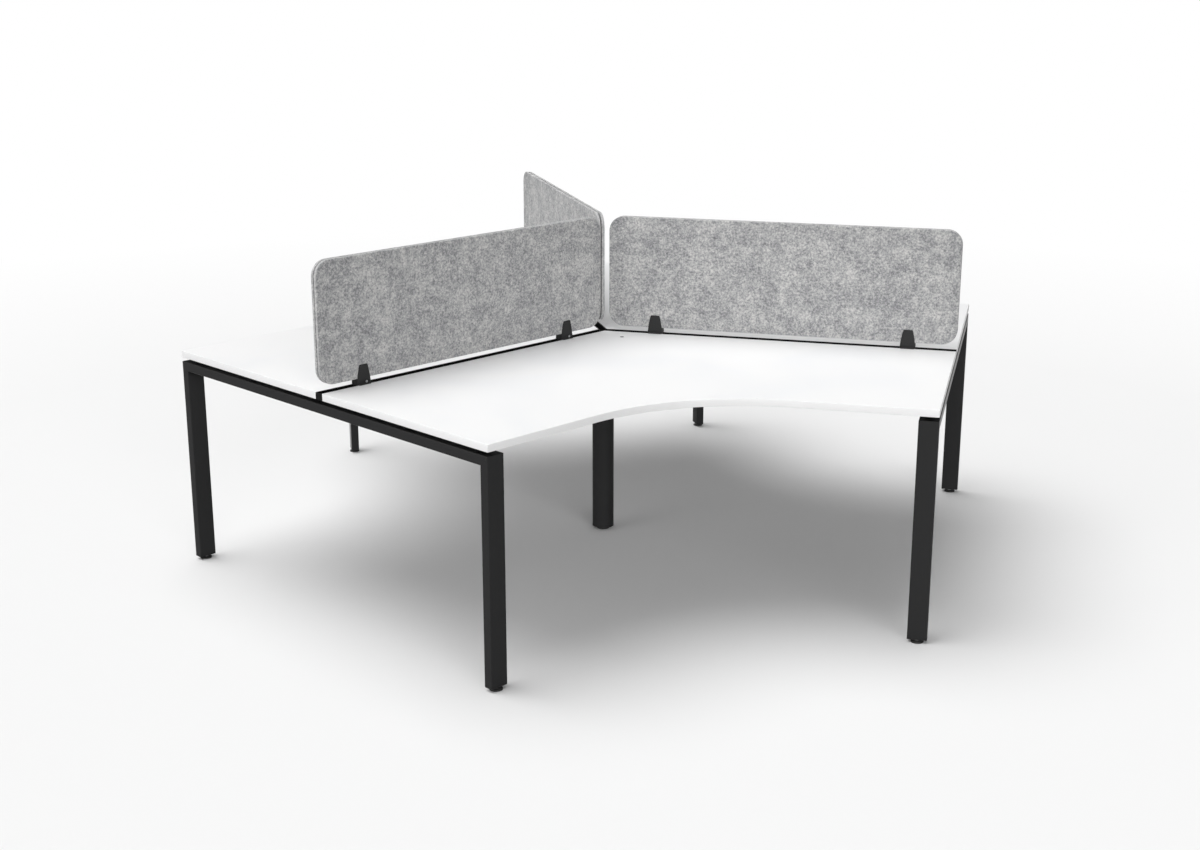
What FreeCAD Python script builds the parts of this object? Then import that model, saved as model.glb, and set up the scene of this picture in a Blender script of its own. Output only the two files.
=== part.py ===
# Desk pod for three people: three tops round one centre post, parted by felt desk screens.
# Millimetres, +Z up. The origin is on the floor under the centre post.
# Each arm of the pod is modelled along +X, with +Y on the side of its clamp screws,
# and is then turned about the centre post. Each top is modelled with its sitter on +X.

import FreeCAD, Part
import math
import os

# Tops
DESK_HEIGHT = 730.0
TOP_EDGE = 1200.0
TOP_DEPTH = 750.0
TOP_THICK = 22.0
TOP_GAP = 28.0
TOP_CORNER = 3.0
BAY_RADIUS = 600.0
BAND_THICK = 2.0
BAND_EASE = 1.0
CAP_REACH = 126.5
CAP_SIDE = 32.0
CAP_WIDE = 11.0
CAP_LONG = 10.0
CAP_SINK = 0.1

# Steel tube of the end frames and beams
TUBE_WIDE = 60.0
TUBE_THIN = 30.0
TUBE_WALL = 2.0
TUBE_CORNER = 3.0

# End frames
FLOAT_GAP = 13.0
POST_SETBACK = 2.0
POST_CLEAR = 11.0

# Centre post and its head plate
CENTRE_TUBE = 76.0
CENTRE_WALL = 3.0
HEAD_THICK = 8.0
HEAD_DISC = 104.0
HEAD_REACH = 130.0
HEAD_CORNER = 12.0
SPIGOT_LONG = 20.0

# Beams from the head plate to the end frames
BEAM_START = 35.0
END_PLATE_THICK = 5.0
END_PLATE_WIDE = 130.0

# Crossbars of hat section between the beams and the tops
CROSSBAR_REACH_SHARES = (0.36, 0.70)
CROSSBAR_LONG = 840.0
CROWN_WIDE = 34.0
FLANGE_WIDE = 16.0
SHEET_THICK = 2.0

# Gap channels
CHANNEL_WALL = 1.5
CHANNEL_SINK = 0.5
CHANNEL_PLAY = 0.3

# Spacers between the frame and the tops
SPACER_WIDE = 16.0
SPACER_SHARES = (0.08, 0.50, 0.92)
BEAM_SPACER_REACH = 150.0

# Levelling feet
PAD_WIDE = 39.0
CENTRE_PAD_WIDE = 44.0
PAD_RIM = 4.0
PAD_TALL = 6.0
PAD_HUB = 24.0
PAD_FLOOR = 1.6
STEM = 10.0
STEM_RISE = 56.0
STEM_HEX = 15.0
PLUG_FLANGE = 2.0
PLUG_DEEP = 25.0

# Screens
SCREEN_SHORTER = 20.0
SCREEN_TALL = 380.0
SCREEN_RISE = 20.0
SCREEN_CORNER = 50.0
FELT_THICK = 12.0
FELT_EASE = 1.5

# Screen clamps
CLAMP_INSET = 160.0
CHEEK_TOP = 30.0
CHEEK_FOOT = 50.0
CHEEK_TALL = 63.0
CHEEK_THICK = 2.7
CHEEK_CORNER = 3.0
CHEEK_SHOULDER = 22.0
CHEEK_SHOULDER_IN = 1.5
CHEEK_EASE = 0.8
HEEL_TALL = 12.0
HEEL_THICK = 0.8
HEEL_SLOPE = 4.0
BLOCK_LONG = 46.0
TONGUE_WIDE = 16.0
TONGUE_TALL = 6.0
TONGUE_LONG = 12.0
TONGUE_SIDE = 9.0
TONGUE_RISE = 9.0
CLAMP_SCREW = 4.0
CLAMP_SCREW_HEAD = 8.0
CLAMP_SCREW_HEAD_THICK = 2.2
CLAMP_SCREW_SOCKET = 2.5
CLAMP_SCREW_SOCKET_DEEP = 1.4
CLAMP_SCREW_SIDE = -9.0
CLAMP_SCREW_RISE = 8.0
CLAMP_SCREW_LONG = 20.0

# Sides of the many-sided prisms that stand for small round pieces and holes,
# and the largest corner radius that is cut straight instead of rounded
PAD_SIDES = 24
CAP_SIDES = 16
HOLE_SIDES = 12
STRAIGHT_CORNER = 12.0

# Clearances, and the overrun of every cut
SEAT = 0.3
PLUG_PLAY = 0.15
RUNNING = 0.05
HOLE_PLAY = 0.2
AXIAL_PLAY = 0.1
OVERRUN = 5.0

# Layout of the pod
ARM_COUNT = 3
ARM_STEP = 360.0 / ARM_COUNT
FIRST_ARM_ANGLE = 210.0
HALF_STEP = math.radians(ARM_STEP / 2)
ARMS = (("left", "front", "rear"), ("right", "rear", "front"), ("rear", "left", "right"))
DESKS = ("front", "right", "left")
SIDES = (1, -1)

# Places worked out from the sizes above
HALF_GAP = TOP_GAP / 2
REACH = TOP_EDGE + HALF_GAP / math.tan(HALF_STEP)
TOP_HALF = HALF_GAP + TOP_DEPTH
TOP_UNDER = DESK_HEIGHT - TOP_THICK
FRAME_TOP = TOP_UNDER - FLOAT_GAP
FRAME_HALF = TOP_HALF - POST_SETBACK
RAIL_UNDER = FRAME_TOP - TUBE_THIN
TUBE_AXIS = FRAME_TOP - TUBE_THIN / 2
RAIL_INNER = REACH - TUBE_WIDE
RAIL_MIDDLE = REACH - TUBE_WIDE / 2
POST_MIDDLE = FRAME_HALF - TUBE_THIN / 2
POST_FOOT = POST_CLEAR + PLUG_FLANGE
HEAD_UNDER = RAIL_UNDER - HEAD_THICK
BEAM_END = RAIL_INNER - END_PLATE_THICK
CAP_TOP = DESK_HEIGHT - CAP_SINK
CHANNEL_HALF = HALF_GAP - CHANNEL_PLAY
CHANNEL_TOP = DESK_HEIGHT - CHANNEL_SINK
CHANNEL_FLOOR = TOP_UNDER + CHANNEL_WALL
SCREEN_LONG = TOP_EDGE - SCREEN_SHORTER
SCREEN_START = REACH - SCREEN_LONG
SCREEN_UNDER = DESK_HEIGHT + SCREEN_RISE
CLAMP_REACHES = (("inner", SCREEN_START + CLAMP_INSET), ("outer", REACH - CLAMP_INSET))
BLOCK_HALF = CHANNEL_HALF - CHANNEL_WALL - PLUG_PLAY
CHEEK_FACE = FELT_THICK + SEAT
CHEEK_SKIN = CHEEK_FACE + CHEEK_THICK
HEEL_SKIN = CHEEK_SKIN + HEEL_THICK
CHEEK_UNDER = DESK_HEIGHT + SEAT
BLOCK_TOP = SCREEN_UNDER - SEAT

ORIGIN = FreeCAD.Vector(0, 0, 0)
ALONG_X = FreeCAD.Vector(1, 0, 0)
ALONG_Y = FreeCAD.Vector(0, 1, 0)
UP = FreeCAD.Vector(0, 0, 1)


# Shape helpers

def point(x, y, z):
    return FreeCAD.Vector(x, y, z)


def rounded_wire(corners):
    """Closed wire through corners given as (point, radius): arcs, or straight cuts if small."""
    spans = []
    for index, (corner, radius) in enumerate(corners):
        to_last = (corners[index - 1][0] - corner).normalize()
        to_next = (corners[(index + 1) % len(corners)][0] - corner).normalize()
        if radius <= 0:
            spans.append((corner, None, corner))
            continue
        half_turn = to_last.getAngle(to_next) / 2
        depth = radius / math.sin(half_turn) - radius
        if radius <= STRAIGHT_CORNER:
            setback = depth / math.cos(half_turn)
            middle = None
        else:
            setback = radius / math.tan(half_turn)
            middle = corner + (to_last + to_next).normalize() * depth
        spans.append((corner + to_last * setback, middle, corner + to_next * setback))
    edges = []
    for index, (start, middle, end) in enumerate(spans):
        edges.append(Part.LineSegment(spans[index - 1][2], start).toShape())
        if middle is not None:
            edges.append(Part.Arc(start, middle, end).toShape())
        elif end != start:
            edges.append(Part.LineSegment(start, end).toShape())
    return Part.Wire(edges)


def prism(corners, run):
    """Solid of a rounded outline pushed along the vector run."""
    return Part.Face(rounded_wire(corners)).extrude(run)


def block(low, high):
    """Box between two corners."""
    size = high - low
    return Part.makeBox(size.x, size.y, size.z, low)


def rod(diameter, start, run):
    """Cylinder on the line from start, as long as the vector run."""
    return Part.makeCylinder(diameter / 2, run.Length, start, run)


def ring(sides, radius, start, run):
    """Corners of an even polygon round the line from start along the vector run."""
    side = run.cross(ALONG_X)
    if side.Length == 0:
        side = run.cross(ALONG_Y)
    side.normalize()
    other = run.cross(side).normalize()
    turns = [2 * math.pi * step / sides for step in range(sides)]
    return [start + side * (radius * math.cos(t)) + other * (radius * math.sin(t)) for t in turns]


def even_prism(sides, radius, start, run):
    """Prism of an even polygon with its corners on the given radius."""
    return prism([(place, 0) for place in ring(sides, radius, start, run)], run)


def tapered(sides, low_radius, high_radius, start, run):
    """Even prism whose corners go from one radius to another along the vector run."""
    low = ring(sides, low_radius, start, run)
    high = ring(sides, high_radius, start + run, run)
    outlines = [low, high]
    for here in range(sides):
        after = (here + 1) % sides
        outlines.append([low[here], low[after], high[after], high[here]])
    faces = [Part.Face(Part.makePolygon(places + places[:1])) for places in outlines]
    return Part.makeSolid(Part.makeShell(faces))


def hexagon(flats, start, run):
    """Hexagonal prism with the given width across flats."""
    return even_prism(6, flats / math.sqrt(3), start, run)


def hole(sides, diameter, start, run):
    """Many-sided cutter that a round piece of the given diameter just passes."""
    return even_prism(sides, diameter / 2 / math.cos(math.pi / sides), start, run)


def rectangle(wide, deep, radius, height):
    """Corners of a level rounded rectangle round the Z axis."""
    x = wide / 2
    y = deep / 2
    places = ((x, y), (-x, y), (-x, -y), (x, -y))
    return [(point(px, py, height), radius) for px, py in places]


def tube(wide, deep, long):
    """Upright box tube that stands on the origin."""
    outer = prism(rectangle(wide, deep, TUBE_CORNER, 0), UP * long)
    bore = rectangle(wide - 2 * TUBE_WALL, deep - 2 * TUBE_WALL, 0, 0)
    return outer.cut(prism(bore, UP * long))


def cut_all(solid, tools):
    """Solid with every tool cut out of it."""
    for tool in tools:
        solid = solid.cut(tool)
    return solid


def fuse_all(solids):
    """One solid out of several, without the seams between them."""
    whole = solids[0]
    for solid in solids[1:]:
        whole = whole.fuse(solid)
    return whole.removeSplitter()


def moved(shape, x, y, z):
    """Copy of a shape, shifted."""
    copy = shape.copy()
    copy.translate(point(x, y, z))
    return copy


def turned(shape, angle):
    """Copy of a shape, turned about the centre post."""
    copy = shape.copy()
    copy.rotate(ORIGIN, UP, angle)
    return copy


def arm_angle(arm):
    """Direction of an arm in degrees."""
    return FIRST_ARM_ANGLE + arm * ARM_STEP


def desk_angle(desk):
    """Direction of a sitter in degrees: halfway between two arms."""
    return arm_angle(desk) + ARM_STEP / 2


def eased(solid, size, chosen):
    """Solid with the edges that chosen accepts bevelled."""
    return solid.makeChamfer(size, [edge for edge in solid.Edges if chosen(edge)])


def save(name, solids):
    """Write one node, as a group if it holds several solids."""
    shape = solids[0] if len(solids) == 1 else Part.makeCompound(solids)
    shape.exportStep("parts/" + name + ".step")


def spacer_places():
    """Places of the spacers on an arm, as (reach, side)."""
    places = []
    for side in SIDES:
        for share in SPACER_SHARES:
            places.append((RAIL_MIDDLE, side * (HALF_GAP + share * TOP_DEPTH)))
        places.append((BEAM_SPACER_REACH, side * (HALF_GAP + SPACER_WIDE / 2)))
    return places


# Tops

def arm_point(reach, off, side, height):
    """Point beside an arm, seen from the top between two arms."""
    x = reach * math.cos(HALF_STEP) + off * math.sin(HALF_STEP)
    y = side * (reach * math.sin(HALF_STEP) - off * math.cos(HALF_STEP))
    return point(x, y, height)


def top_corners(inset, corner):
    """Corners of a top's outline, drawn in by inset, with the sitter's bay as a round one."""
    near = HALF_GAP + inset
    far = TOP_HALF - inset
    end = REACH - inset
    return [
        (point(near / math.sin(HALF_STEP), 0, TOP_UNDER), 0),
        (arm_point(end, near, 1, TOP_UNDER), corner),
        (arm_point(end, far, 1, TOP_UNDER), corner),
        (point(far / math.sin(HALF_STEP), 0, TOP_UNDER), BAY_RADIUS + inset),
        (arm_point(end, far, -1, TOP_UNDER), corner),
        (arm_point(end, near, -1, TOP_UNDER), corner),
    ]


def desktop():
    """Board of one top, inside its edge band, with the hole for its cap."""
    board = prism(top_corners(BAND_THICK, 0), UP * TOP_THICK)
    low = point(CAP_REACH, CAP_SIDE, CAP_TOP - CAP_LONG)
    return board.cut(hole(CAP_SIDES, CAP_WIDE + HOLE_PLAY, low, UP * TOP_THICK))


def edge_band():
    """Edge band round one top, with eased upper and lower edges."""
    outer = prism(top_corners(0, TOP_CORNER), UP * TOP_THICK)
    outer = eased(outer, BAND_EASE, lambda edge: edge.BoundBox.ZLength < BAND_EASE)
    return outer.cut(prism(top_corners(BAND_THICK, 0), UP * TOP_THICK))


def hole_cap():
    """Cap let into one top."""
    low = point(CAP_REACH, CAP_SIDE, CAP_TOP - CAP_LONG)
    return even_prism(CAP_SIDES, CAP_WIDE / 2, low, UP * CAP_LONG)


# End frames

def mitre(side, keeps_post):
    """Wedge that cuts a frame corner at its mitre, for the post or for the rail."""
    high = FRAME_TOP + OVERRUN
    low = RAIL_UNDER - OVERRUN
    outside = side * (FRAME_HALF + OVERRUN)
    inside = side * (FRAME_HALF - TUBE_THIN - OVERRUN)
    start = RAIL_INNER - OVERRUN
    third = (inside, high) if keeps_post else (outside, low)
    places = ((outside, high), (inside, low), third)
    corners = [(point(start, y, z), 0) for y, z in places]
    return prism(corners, ALONG_X * (TUBE_WIDE + 2 * OVERRUN))


def rail():
    """Rail of an end frame, with mitred ends."""
    bar = tube(TUBE_WIDE, TUBE_THIN, 2 * FRAME_HALF)
    bar.rotate(ORIGIN, ALONG_X, -90)
    bar = moved(bar, RAIL_MIDDLE, -FRAME_HALF, TUBE_AXIS)
    return cut_all(bar, [mitre(side, False) for side in SIDES])


def post(side):
    """Post of an end frame, from its plug's flange up to the mitre."""
    bar = tube(TUBE_WIDE, TUBE_THIN, FRAME_TOP - POST_FOOT)
    bar = moved(bar, RAIL_MIDDLE, side * POST_MIDDLE, POST_FOOT)
    return bar.cut(mitre(side, True))


def plug_bore():
    """Tapped bore of a foot plug, right through."""
    long = PLUG_FLANGE + PLUG_DEEP + 2 * OVERRUN
    start = point(0, 0, POST_CLEAR - OVERRUN)
    return hole(HOLE_SIDES, STEM + 2 * RUNNING, start, UP * long)


def post_plug():
    """Plug in the foot of a post: a flange under the tube and a block inside it."""
    wide = TUBE_WIDE - 2 * TUBE_WALL - 2 * PLUG_PLAY
    deep = TUBE_THIN - 2 * TUBE_WALL - 2 * PLUG_PLAY
    flange = prism(rectangle(TUBE_WIDE, TUBE_THIN, TUBE_CORNER, POST_CLEAR), UP * PLUG_FLANGE)
    inside = prism(rectangle(wide, deep, 0, POST_FOOT), UP * PLUG_DEEP)
    return fuse_all([flange, inside]).cut(plug_bore())


def centre_plug():
    """Plug in the foot of the centre post, round like its tube."""
    inner = CENTRE_TUBE / 2 - CENTRE_WALL - PLUG_PLAY
    flange = rod(CENTRE_TUBE, point(0, 0, POST_CLEAR), UP * PLUG_FLANGE)
    inside = even_prism(PAD_SIDES, inner, point(0, 0, POST_FOOT), UP * PLUG_DEEP)
    return fuse_all([flange, inside]).cut(plug_bore())


# Levelling feet

def foot_pad(wide):
    """Round pad with a sloping top and a socket for the stem."""
    base = even_prism(PAD_SIDES, wide / 2, ORIGIN, UP * PAD_RIM)
    slope = tapered(PAD_SIDES, wide / 2, PAD_HUB / 2, point(0, 0, PAD_RIM),
                    UP * (PAD_TALL - PAD_RIM))
    socket = hole(HOLE_SIDES, STEM + 2 * AXIAL_PLAY, point(0, 0, PAD_FLOOR), UP * PAD_TALL)
    return fuse_all([base, slope]).cut(socket)


def foot_stem():
    """Stem with its spanner hexagon, and the plain foot that stands in the pad."""
    start = PAD_FLOOR + AXIAL_PLAY
    low = PAD_TALL + AXIAL_PLAY
    high = POST_CLEAR - AXIAL_PLAY
    return fuse_all([
        rod(STEM, point(0, 0, high), UP * (STEM_RISE - high)),
        hexagon(STEM_HEX, point(0, 0, low), UP * (high - low)),
        even_prism(HOLE_SIDES, STEM / 2, point(0, 0, start), UP * (low - start)),
    ])


# Centre post, head plate and beams

def centre_post():
    """Round centre tube from its plug's flange up to the head plate."""
    long = HEAD_UNDER - POST_FOOT
    outer = rod(CENTRE_TUBE, point(0, 0, POST_FOOT), UP * long)
    return outer.cut(rod(CENTRE_TUBE - 2 * CENTRE_WALL, point(0, 0, POST_FOOT), UP * long))


def head_lobe():
    """One arm of the head plate."""
    half = TUBE_WIDE / 2
    places = (
        (0, -half, 0),
        (HEAD_REACH, -half, HEAD_CORNER),
        (HEAD_REACH, half, HEAD_CORNER),
        (0, half, 0),
    )
    corners = [(point(x, y, HEAD_UNDER), radius) for x, y, radius in places]
    return prism(corners, UP * HEAD_THICK)


def centre_head():
    """Head plate that carries the beams, on a spigot in the centre post."""
    pieces = [rod(HEAD_DISC, point(0, 0, HEAD_UNDER), UP * HEAD_THICK)]
    pieces += [turned(head_lobe(), arm_angle(arm)) for arm in range(ARM_COUNT)]
    outside = CENTRE_TUBE - 2 * CENTRE_WALL - 2 * PLUG_PLAY
    low = point(0, 0, HEAD_UNDER - SPIGOT_LONG)
    pieces.append(even_prism(PAD_SIDES, outside / 2, low, UP * SPIGOT_LONG))
    return fuse_all(pieces)


def beam():
    """Beam of an arm with its end plate."""
    bar = tube(TUBE_THIN, TUBE_WIDE, BEAM_END - BEAM_START)
    bar.rotate(ORIGIN, ALONG_Y, 90)
    bar = moved(bar, BEAM_START, 0, TUBE_AXIS)
    half = END_PLATE_WIDE / 2
    plate = block(point(BEAM_END, -half, RAIL_UNDER), point(RAIL_INNER, half, FRAME_TOP))
    return fuse_all([bar, plate])


def crossbars():
    """The crossbars of one arm: folded hat sections from the beam up to the tops."""
    crown = CROWN_WIDE / 2
    brim = crown + FLANGE_WIDE
    inner = crown - SHEET_THICK
    places = (
        (-brim, 0),
        (-inner, 0),
        (-inner, FLOAT_GAP - SHEET_THICK),
        (inner, FLOAT_GAP - SHEET_THICK),
        (inner, 0),
        (brim, 0),
        (brim, SHEET_THICK),
        (crown, SHEET_THICK),
        (crown, FLOAT_GAP),
        (-crown, FLOAT_GAP),
        (-crown, SHEET_THICK),
        (-brim, SHEET_THICK),
    )
    bars = []
    for share in CROSSBAR_REACH_SHARES:
        middle = share * REACH
        start = -CROSSBAR_LONG / 2
        corners = [(point(middle + x, start, FRAME_TOP + z), 0) for x, z in places]
        bars.append(prism(corners, ALONG_Y * CROSSBAR_LONG))
    return bars


def spacer():
    """Square spacer between the frame and a top."""
    half = SPACER_WIDE / 2
    return block(point(-half, -half, FRAME_TOP), point(half, half, TOP_UNDER))


# Gap channels

def channel():
    """Folded channel in the gap between two tops, mitred at the centre, with a closed end."""
    half = CHANNEL_HALF
    inner = half - CHANNEL_WALL
    places = (
        (-half, CHANNEL_TOP),
        (-half, TOP_UNDER),
        (half, TOP_UNDER),
        (half, CHANNEL_TOP),
        (inner, CHANNEL_TOP),
        (inner, CHANNEL_FLOOR),
        (-inner, CHANNEL_FLOOR),
        (-inner, CHANNEL_TOP),
    )
    trough = prism([(point(0, y, z), 0) for y, z in places], ALONG_X * REACH)
    end = block(point(REACH - CHANNEL_WALL, -inner, TOP_UNDER), point(REACH, inner, CHANNEL_TOP))
    spread = REACH * math.tan(HALF_STEP)
    wedge = [(point(0, 0, 0), 0), (point(REACH, spread, 0), 0), (point(REACH, -spread, 0), 0)]
    return fuse_all([trough, end]).common(prism(wedge, UP * (DESK_HEIGHT + OVERRUN)))


# Screens

def felt_board(side):
    """One felt board of a screen, eased round its face."""
    places = (
        (SCREEN_START, SCREEN_UNDER),
        (REACH, SCREEN_UNDER),
        (REACH, SCREEN_UNDER + SCREEN_TALL),
        (SCREEN_START, SCREEN_UNDER + SCREEN_TALL),
    )
    corners = [(point(x, 0, z), SCREEN_CORNER) for x, z in places]
    face = side * FELT_THICK
    board = prism(corners, ALONG_Y * face)

    def on_face(edge):
        box = edge.BoundBox
        return box.YLength < FELT_EASE and abs(box.Center.y - face) < FELT_EASE

    return eased(board, FELT_EASE, on_face)


# Screen clamps, modelled at the start of their arm and moved to their reach

def cheek(side, inner):
    """Cheek of a clamp from its inner face outwards, narrowing upwards from its shoulders."""
    foot = CHEEK_FOOT / 2
    shoulder = foot - CHEEK_SHOULDER_IN
    top = CHEEK_TOP / 2
    high = DESK_HEIGHT + CHEEK_TALL
    places = (
        (-foot, CHEEK_UNDER, 0),
        (foot, CHEEK_UNDER, 0),
        (shoulder, CHEEK_UNDER + CHEEK_SHOULDER, 0),
        (top, high, CHEEK_CORNER),
        (-top, high, CHEEK_CORNER),
        (-shoulder, CHEEK_UNDER + CHEEK_SHOULDER, 0),
    )
    corners = [(point(x, side * inner, z), radius) for x, z, radius in places]
    outer = side * CHEEK_SKIN
    plate = prism(corners, ALONG_Y * (outer - side * inner))

    def on_rim(edge):
        box = edge.BoundBox
        high_enough = box.ZMax > CHEEK_UNDER + CHEEK_EASE
        return high_enough and abs(box.YMin - outer) + abs(box.YMax - outer) < CHEEK_EASE

    return fuse_all([eased(plate, CHEEK_EASE, on_rim), heel(side)])


def heel(side):
    """Thicker foot of a cheek, sloping back into its face."""
    inside = CHEEK_FACE + CHEEK_THICK / 2
    high = CHEEK_UNDER + HEEL_TALL
    places = (
        (inside, CHEEK_UNDER),
        (HEEL_SKIN, CHEEK_UNDER),
        (HEEL_SKIN, high),
        (CHEEK_SKIN, high + HEEL_SLOPE),
        (inside, high + HEEL_SLOPE),
    )
    start = -CHEEK_FOOT / 2 + CHEEK_EASE
    corners = [(point(start, side * y, z), 0) for y, z in places]
    return prism(corners, ALONG_X * (CHEEK_FOOT - 2 * CHEEK_EASE))


def tongue(play, long):
    """Flat tongue inwards from the face of the moving cheek, or its slot with play all round."""
    middle = DESK_HEIGHT + TONGUE_RISE
    wide = TONGUE_WIDE / 2 + play
    tall = TONGUE_TALL / 2 + play
    return block(point(TONGUE_SIDE - wide, CHEEK_FACE - long, middle - tall),
                 point(TONGUE_SIDE + wide, CHEEK_FACE, middle + tall))


def clamp_screw():
    """Flat-headed screw that draws the moving cheek on to the screen."""
    under = UP * CLAMP_SCREW_HEAD_THICK
    head = even_prism(CAP_SIDES, CLAMP_SCREW_HEAD / 2, ORIGIN, under)
    shank = rod(CLAMP_SCREW, under, UP * (CLAMP_SCREW_LONG - CLAMP_SCREW_HEAD_THICK))
    socket = hexagon(CLAMP_SCREW_SOCKET, ORIGIN, UP * CLAMP_SCREW_SOCKET_DEEP)
    return on_screw_line(fuse_all([head, shank]).cut(socket))


def on_screw_line(body):
    """Body along +Z laid on the clamp screw's line, its origin just under the heel's face."""
    laid = body.copy()
    laid.rotate(ORIGIN, ALONG_X, 90)
    return moved(laid, CLAMP_SCREW_SIDE, HEEL_SKIN - AXIAL_PLAY, DESK_HEIGHT + CLAMP_SCREW_RISE)


def clamp_body():
    """Clamp body: a block in the gap channel with the fixed cheek, its slot and tapped hole."""
    half = BLOCK_LONG / 2
    body = fuse_all([
        block(point(-half, -BLOCK_HALF, CHANNEL_FLOOR), point(half, BLOCK_HALF, BLOCK_TOP)),
        cheek(-1, BLOCK_HALF),
    ])
    room = block(point(-half - OVERRUN, -CHEEK_FACE, BLOCK_TOP),
                 point(half + OVERRUN, BLOCK_HALF, BLOCK_TOP + CHEEK_TALL))
    long = UP * (CLAMP_SCREW_LONG + SEAT)
    thread = on_screw_line(hole(HOLE_SIDES, CLAMP_SCREW + 2 * RUNNING, ORIGIN, long))
    return cut_all(body, [room, thread, tongue(RUNNING, TONGUE_LONG + SEAT)])


def clamp_jaw():
    """Moving cheek with its tongue, and the stepped hole that the clamp screw's head sinks in."""
    jaw = fuse_all([cheek(1, CHEEK_FACE), tongue(0, TONGUE_LONG)])
    seat = UP * (CLAMP_SCREW_HEAD_THICK + AXIAL_PLAY)
    head = hole(CAP_SIDES, CLAMP_SCREW_HEAD + HOLE_PLAY, UP * -OVERRUN, seat + UP * OVERRUN)
    shank = hole(HOLE_SIDES, CLAMP_SCREW + HOLE_PLAY, ORIGIN, UP * CLAMP_SCREW_LONG)
    return cut_all(jaw, [on_screw_line(head), on_screw_line(shank)])


# Nodes

def round_arms(solids):
    """Solids of one arm, repeated on every arm."""
    return [turned(solid, arm_angle(arm)) for arm in range(ARM_COUNT) for solid in solids]


def round_desks(solid):
    """Solid of one top, repeated on every top."""
    return [turned(solid, desk_angle(desk)) for desk in range(ARM_COUNT)]


def save_tops():
    """The three tops, their edge bands and their caps."""
    for name, board in zip(DESKS, round_desks(desktop())):
        save("desktop_" + name, [board])
    save("edge_bands", round_desks(edge_band()))
    save("hole_caps", round_desks(hole_cap()))


def save_frames():
    """The end frames: rails and posts."""
    bar = rail()
    posts = [post(side) for side in SIDES]
    for arm, (name, plus_side, minus_side) in enumerate(ARMS):
        angle = arm_angle(arm)
        save("end_rail_" + name, [turned(bar, angle)])
        save("post_" + name + "_" + plus_side, [turned(posts[0], angle)])
        save("post_" + name + "_" + minus_side, [turned(posts[1], angle)])


def save_spine():
    """The centre post, its head plate, the beams, crossbars and gap channels."""
    save("centre_post", [centre_post()])
    save("centre_head", [centre_head()])
    save("crossbars", round_arms(crossbars()))
    bar = beam()
    trough = channel()
    for arm, (name, _, _) in enumerate(ARMS):
        save("beam_" + name, [turned(bar, arm_angle(arm))])
        save("gap_channel_" + name, [turned(trough, arm_angle(arm))])


def save_spacers():
    """The spacers between the frames and the tops, as one group."""
    places = spacer_places()
    save("top_spacers", round_arms([moved(spacer(), reach, off, 0) for reach, off in places]))


def save_feet():
    """Plugs, pads and stems of the seven levelling feet."""
    stem = foot_stem()
    pad = foot_pad(PAD_WIDE)
    plugs = [centre_plug()]
    save("foot_pad_centre", [foot_pad(CENTRE_PAD_WIDE)])
    save("foot_stem_centre", [stem])
    plug = post_plug()
    for arm, (name, plus_side, minus_side) in enumerate(ARMS):
        for side, side_name in ((1, plus_side), (-1, minus_side)):
            place = (RAIL_MIDDLE, side * POST_MIDDLE, 0)
            angle = arm_angle(arm)
            plugs.append(turned(moved(plug, *place), angle))
            save("foot_pad_" + name + "_" + side_name, [turned(moved(pad, *place), angle)])
            save("foot_stem_" + name + "_" + side_name, [turned(moved(stem, *place), angle)])
    save("foot_plugs", plugs)


def save_screens():
    """Screens and their clamps."""
    boards = [felt_board(side) for side in SIDES]
    jaw = clamp_jaw()
    driver = clamp_screw()
    body = clamp_body()
    bodies = []
    for place, reach in CLAMP_REACHES:
        bodies.append(moved(body, reach, 0, 0))
        for arm, (name, _, _) in enumerate(ARMS):
            angle = arm_angle(arm)
            save("clamp_jaw_" + name + "_" + place, [turned(moved(jaw, reach, 0, 0), angle)])
            save("clamp_screw_" + name + "_" + place,
                 [turned(moved(driver, reach, 0, 0), angle)])
    for arm, (name, _, _) in enumerate(ARMS):
        save("screen_" + name, [turned(board, arm_angle(arm)) for board in boards])
    save("clamp_bodies", round_arms(bodies))


os.makedirs("parts", exist_ok=True)
save_tops()
save_frames()
save_spine()
save_spacers()
save_feet()
save_screens()
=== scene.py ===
"""Looks of a desk pod for three people: white boomerang tops on dark steel frames, parted by felt screens.

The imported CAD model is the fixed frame. Sizes in this file are millimetres, as a maker gives them, and are
turned into metres where a mesh is made. Lengths in a finish are metres, as its nodes need them. An arm of
the pod has its own directions: reach, outwards from the centre post; side, towards its clamp screws; and
height.
"""

import logging
import math
from collections.abc import Callable, Iterable, Sequence
from dataclasses import dataclass
from enum import Enum

import bmesh
import bpy
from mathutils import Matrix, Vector, noise


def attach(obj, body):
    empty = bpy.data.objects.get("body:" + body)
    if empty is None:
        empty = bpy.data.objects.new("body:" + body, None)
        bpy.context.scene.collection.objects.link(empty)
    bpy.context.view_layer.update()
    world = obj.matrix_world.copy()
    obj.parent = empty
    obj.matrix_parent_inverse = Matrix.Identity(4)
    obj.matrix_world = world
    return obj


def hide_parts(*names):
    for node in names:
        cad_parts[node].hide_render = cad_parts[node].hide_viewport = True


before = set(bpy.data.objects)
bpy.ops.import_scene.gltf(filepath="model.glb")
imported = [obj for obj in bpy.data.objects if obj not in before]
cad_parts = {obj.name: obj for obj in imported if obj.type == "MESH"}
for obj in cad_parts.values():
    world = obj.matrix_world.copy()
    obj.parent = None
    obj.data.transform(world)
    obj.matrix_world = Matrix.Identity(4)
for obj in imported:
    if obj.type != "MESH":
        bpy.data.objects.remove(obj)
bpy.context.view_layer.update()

MM = 0.001
LOG = logging.getLogger("desk_pod")
Point = tuple[float, float]
Range = tuple[float, float]
Triple = tuple[float, float, float]
Colour = Triple
Turning = Sequence[Point]
Place = Callable[[float, float, float], Vector]
Piece = bpy.types.Object
Node = bpy.types.Node
Socket = bpy.types.NodeSocket

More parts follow.
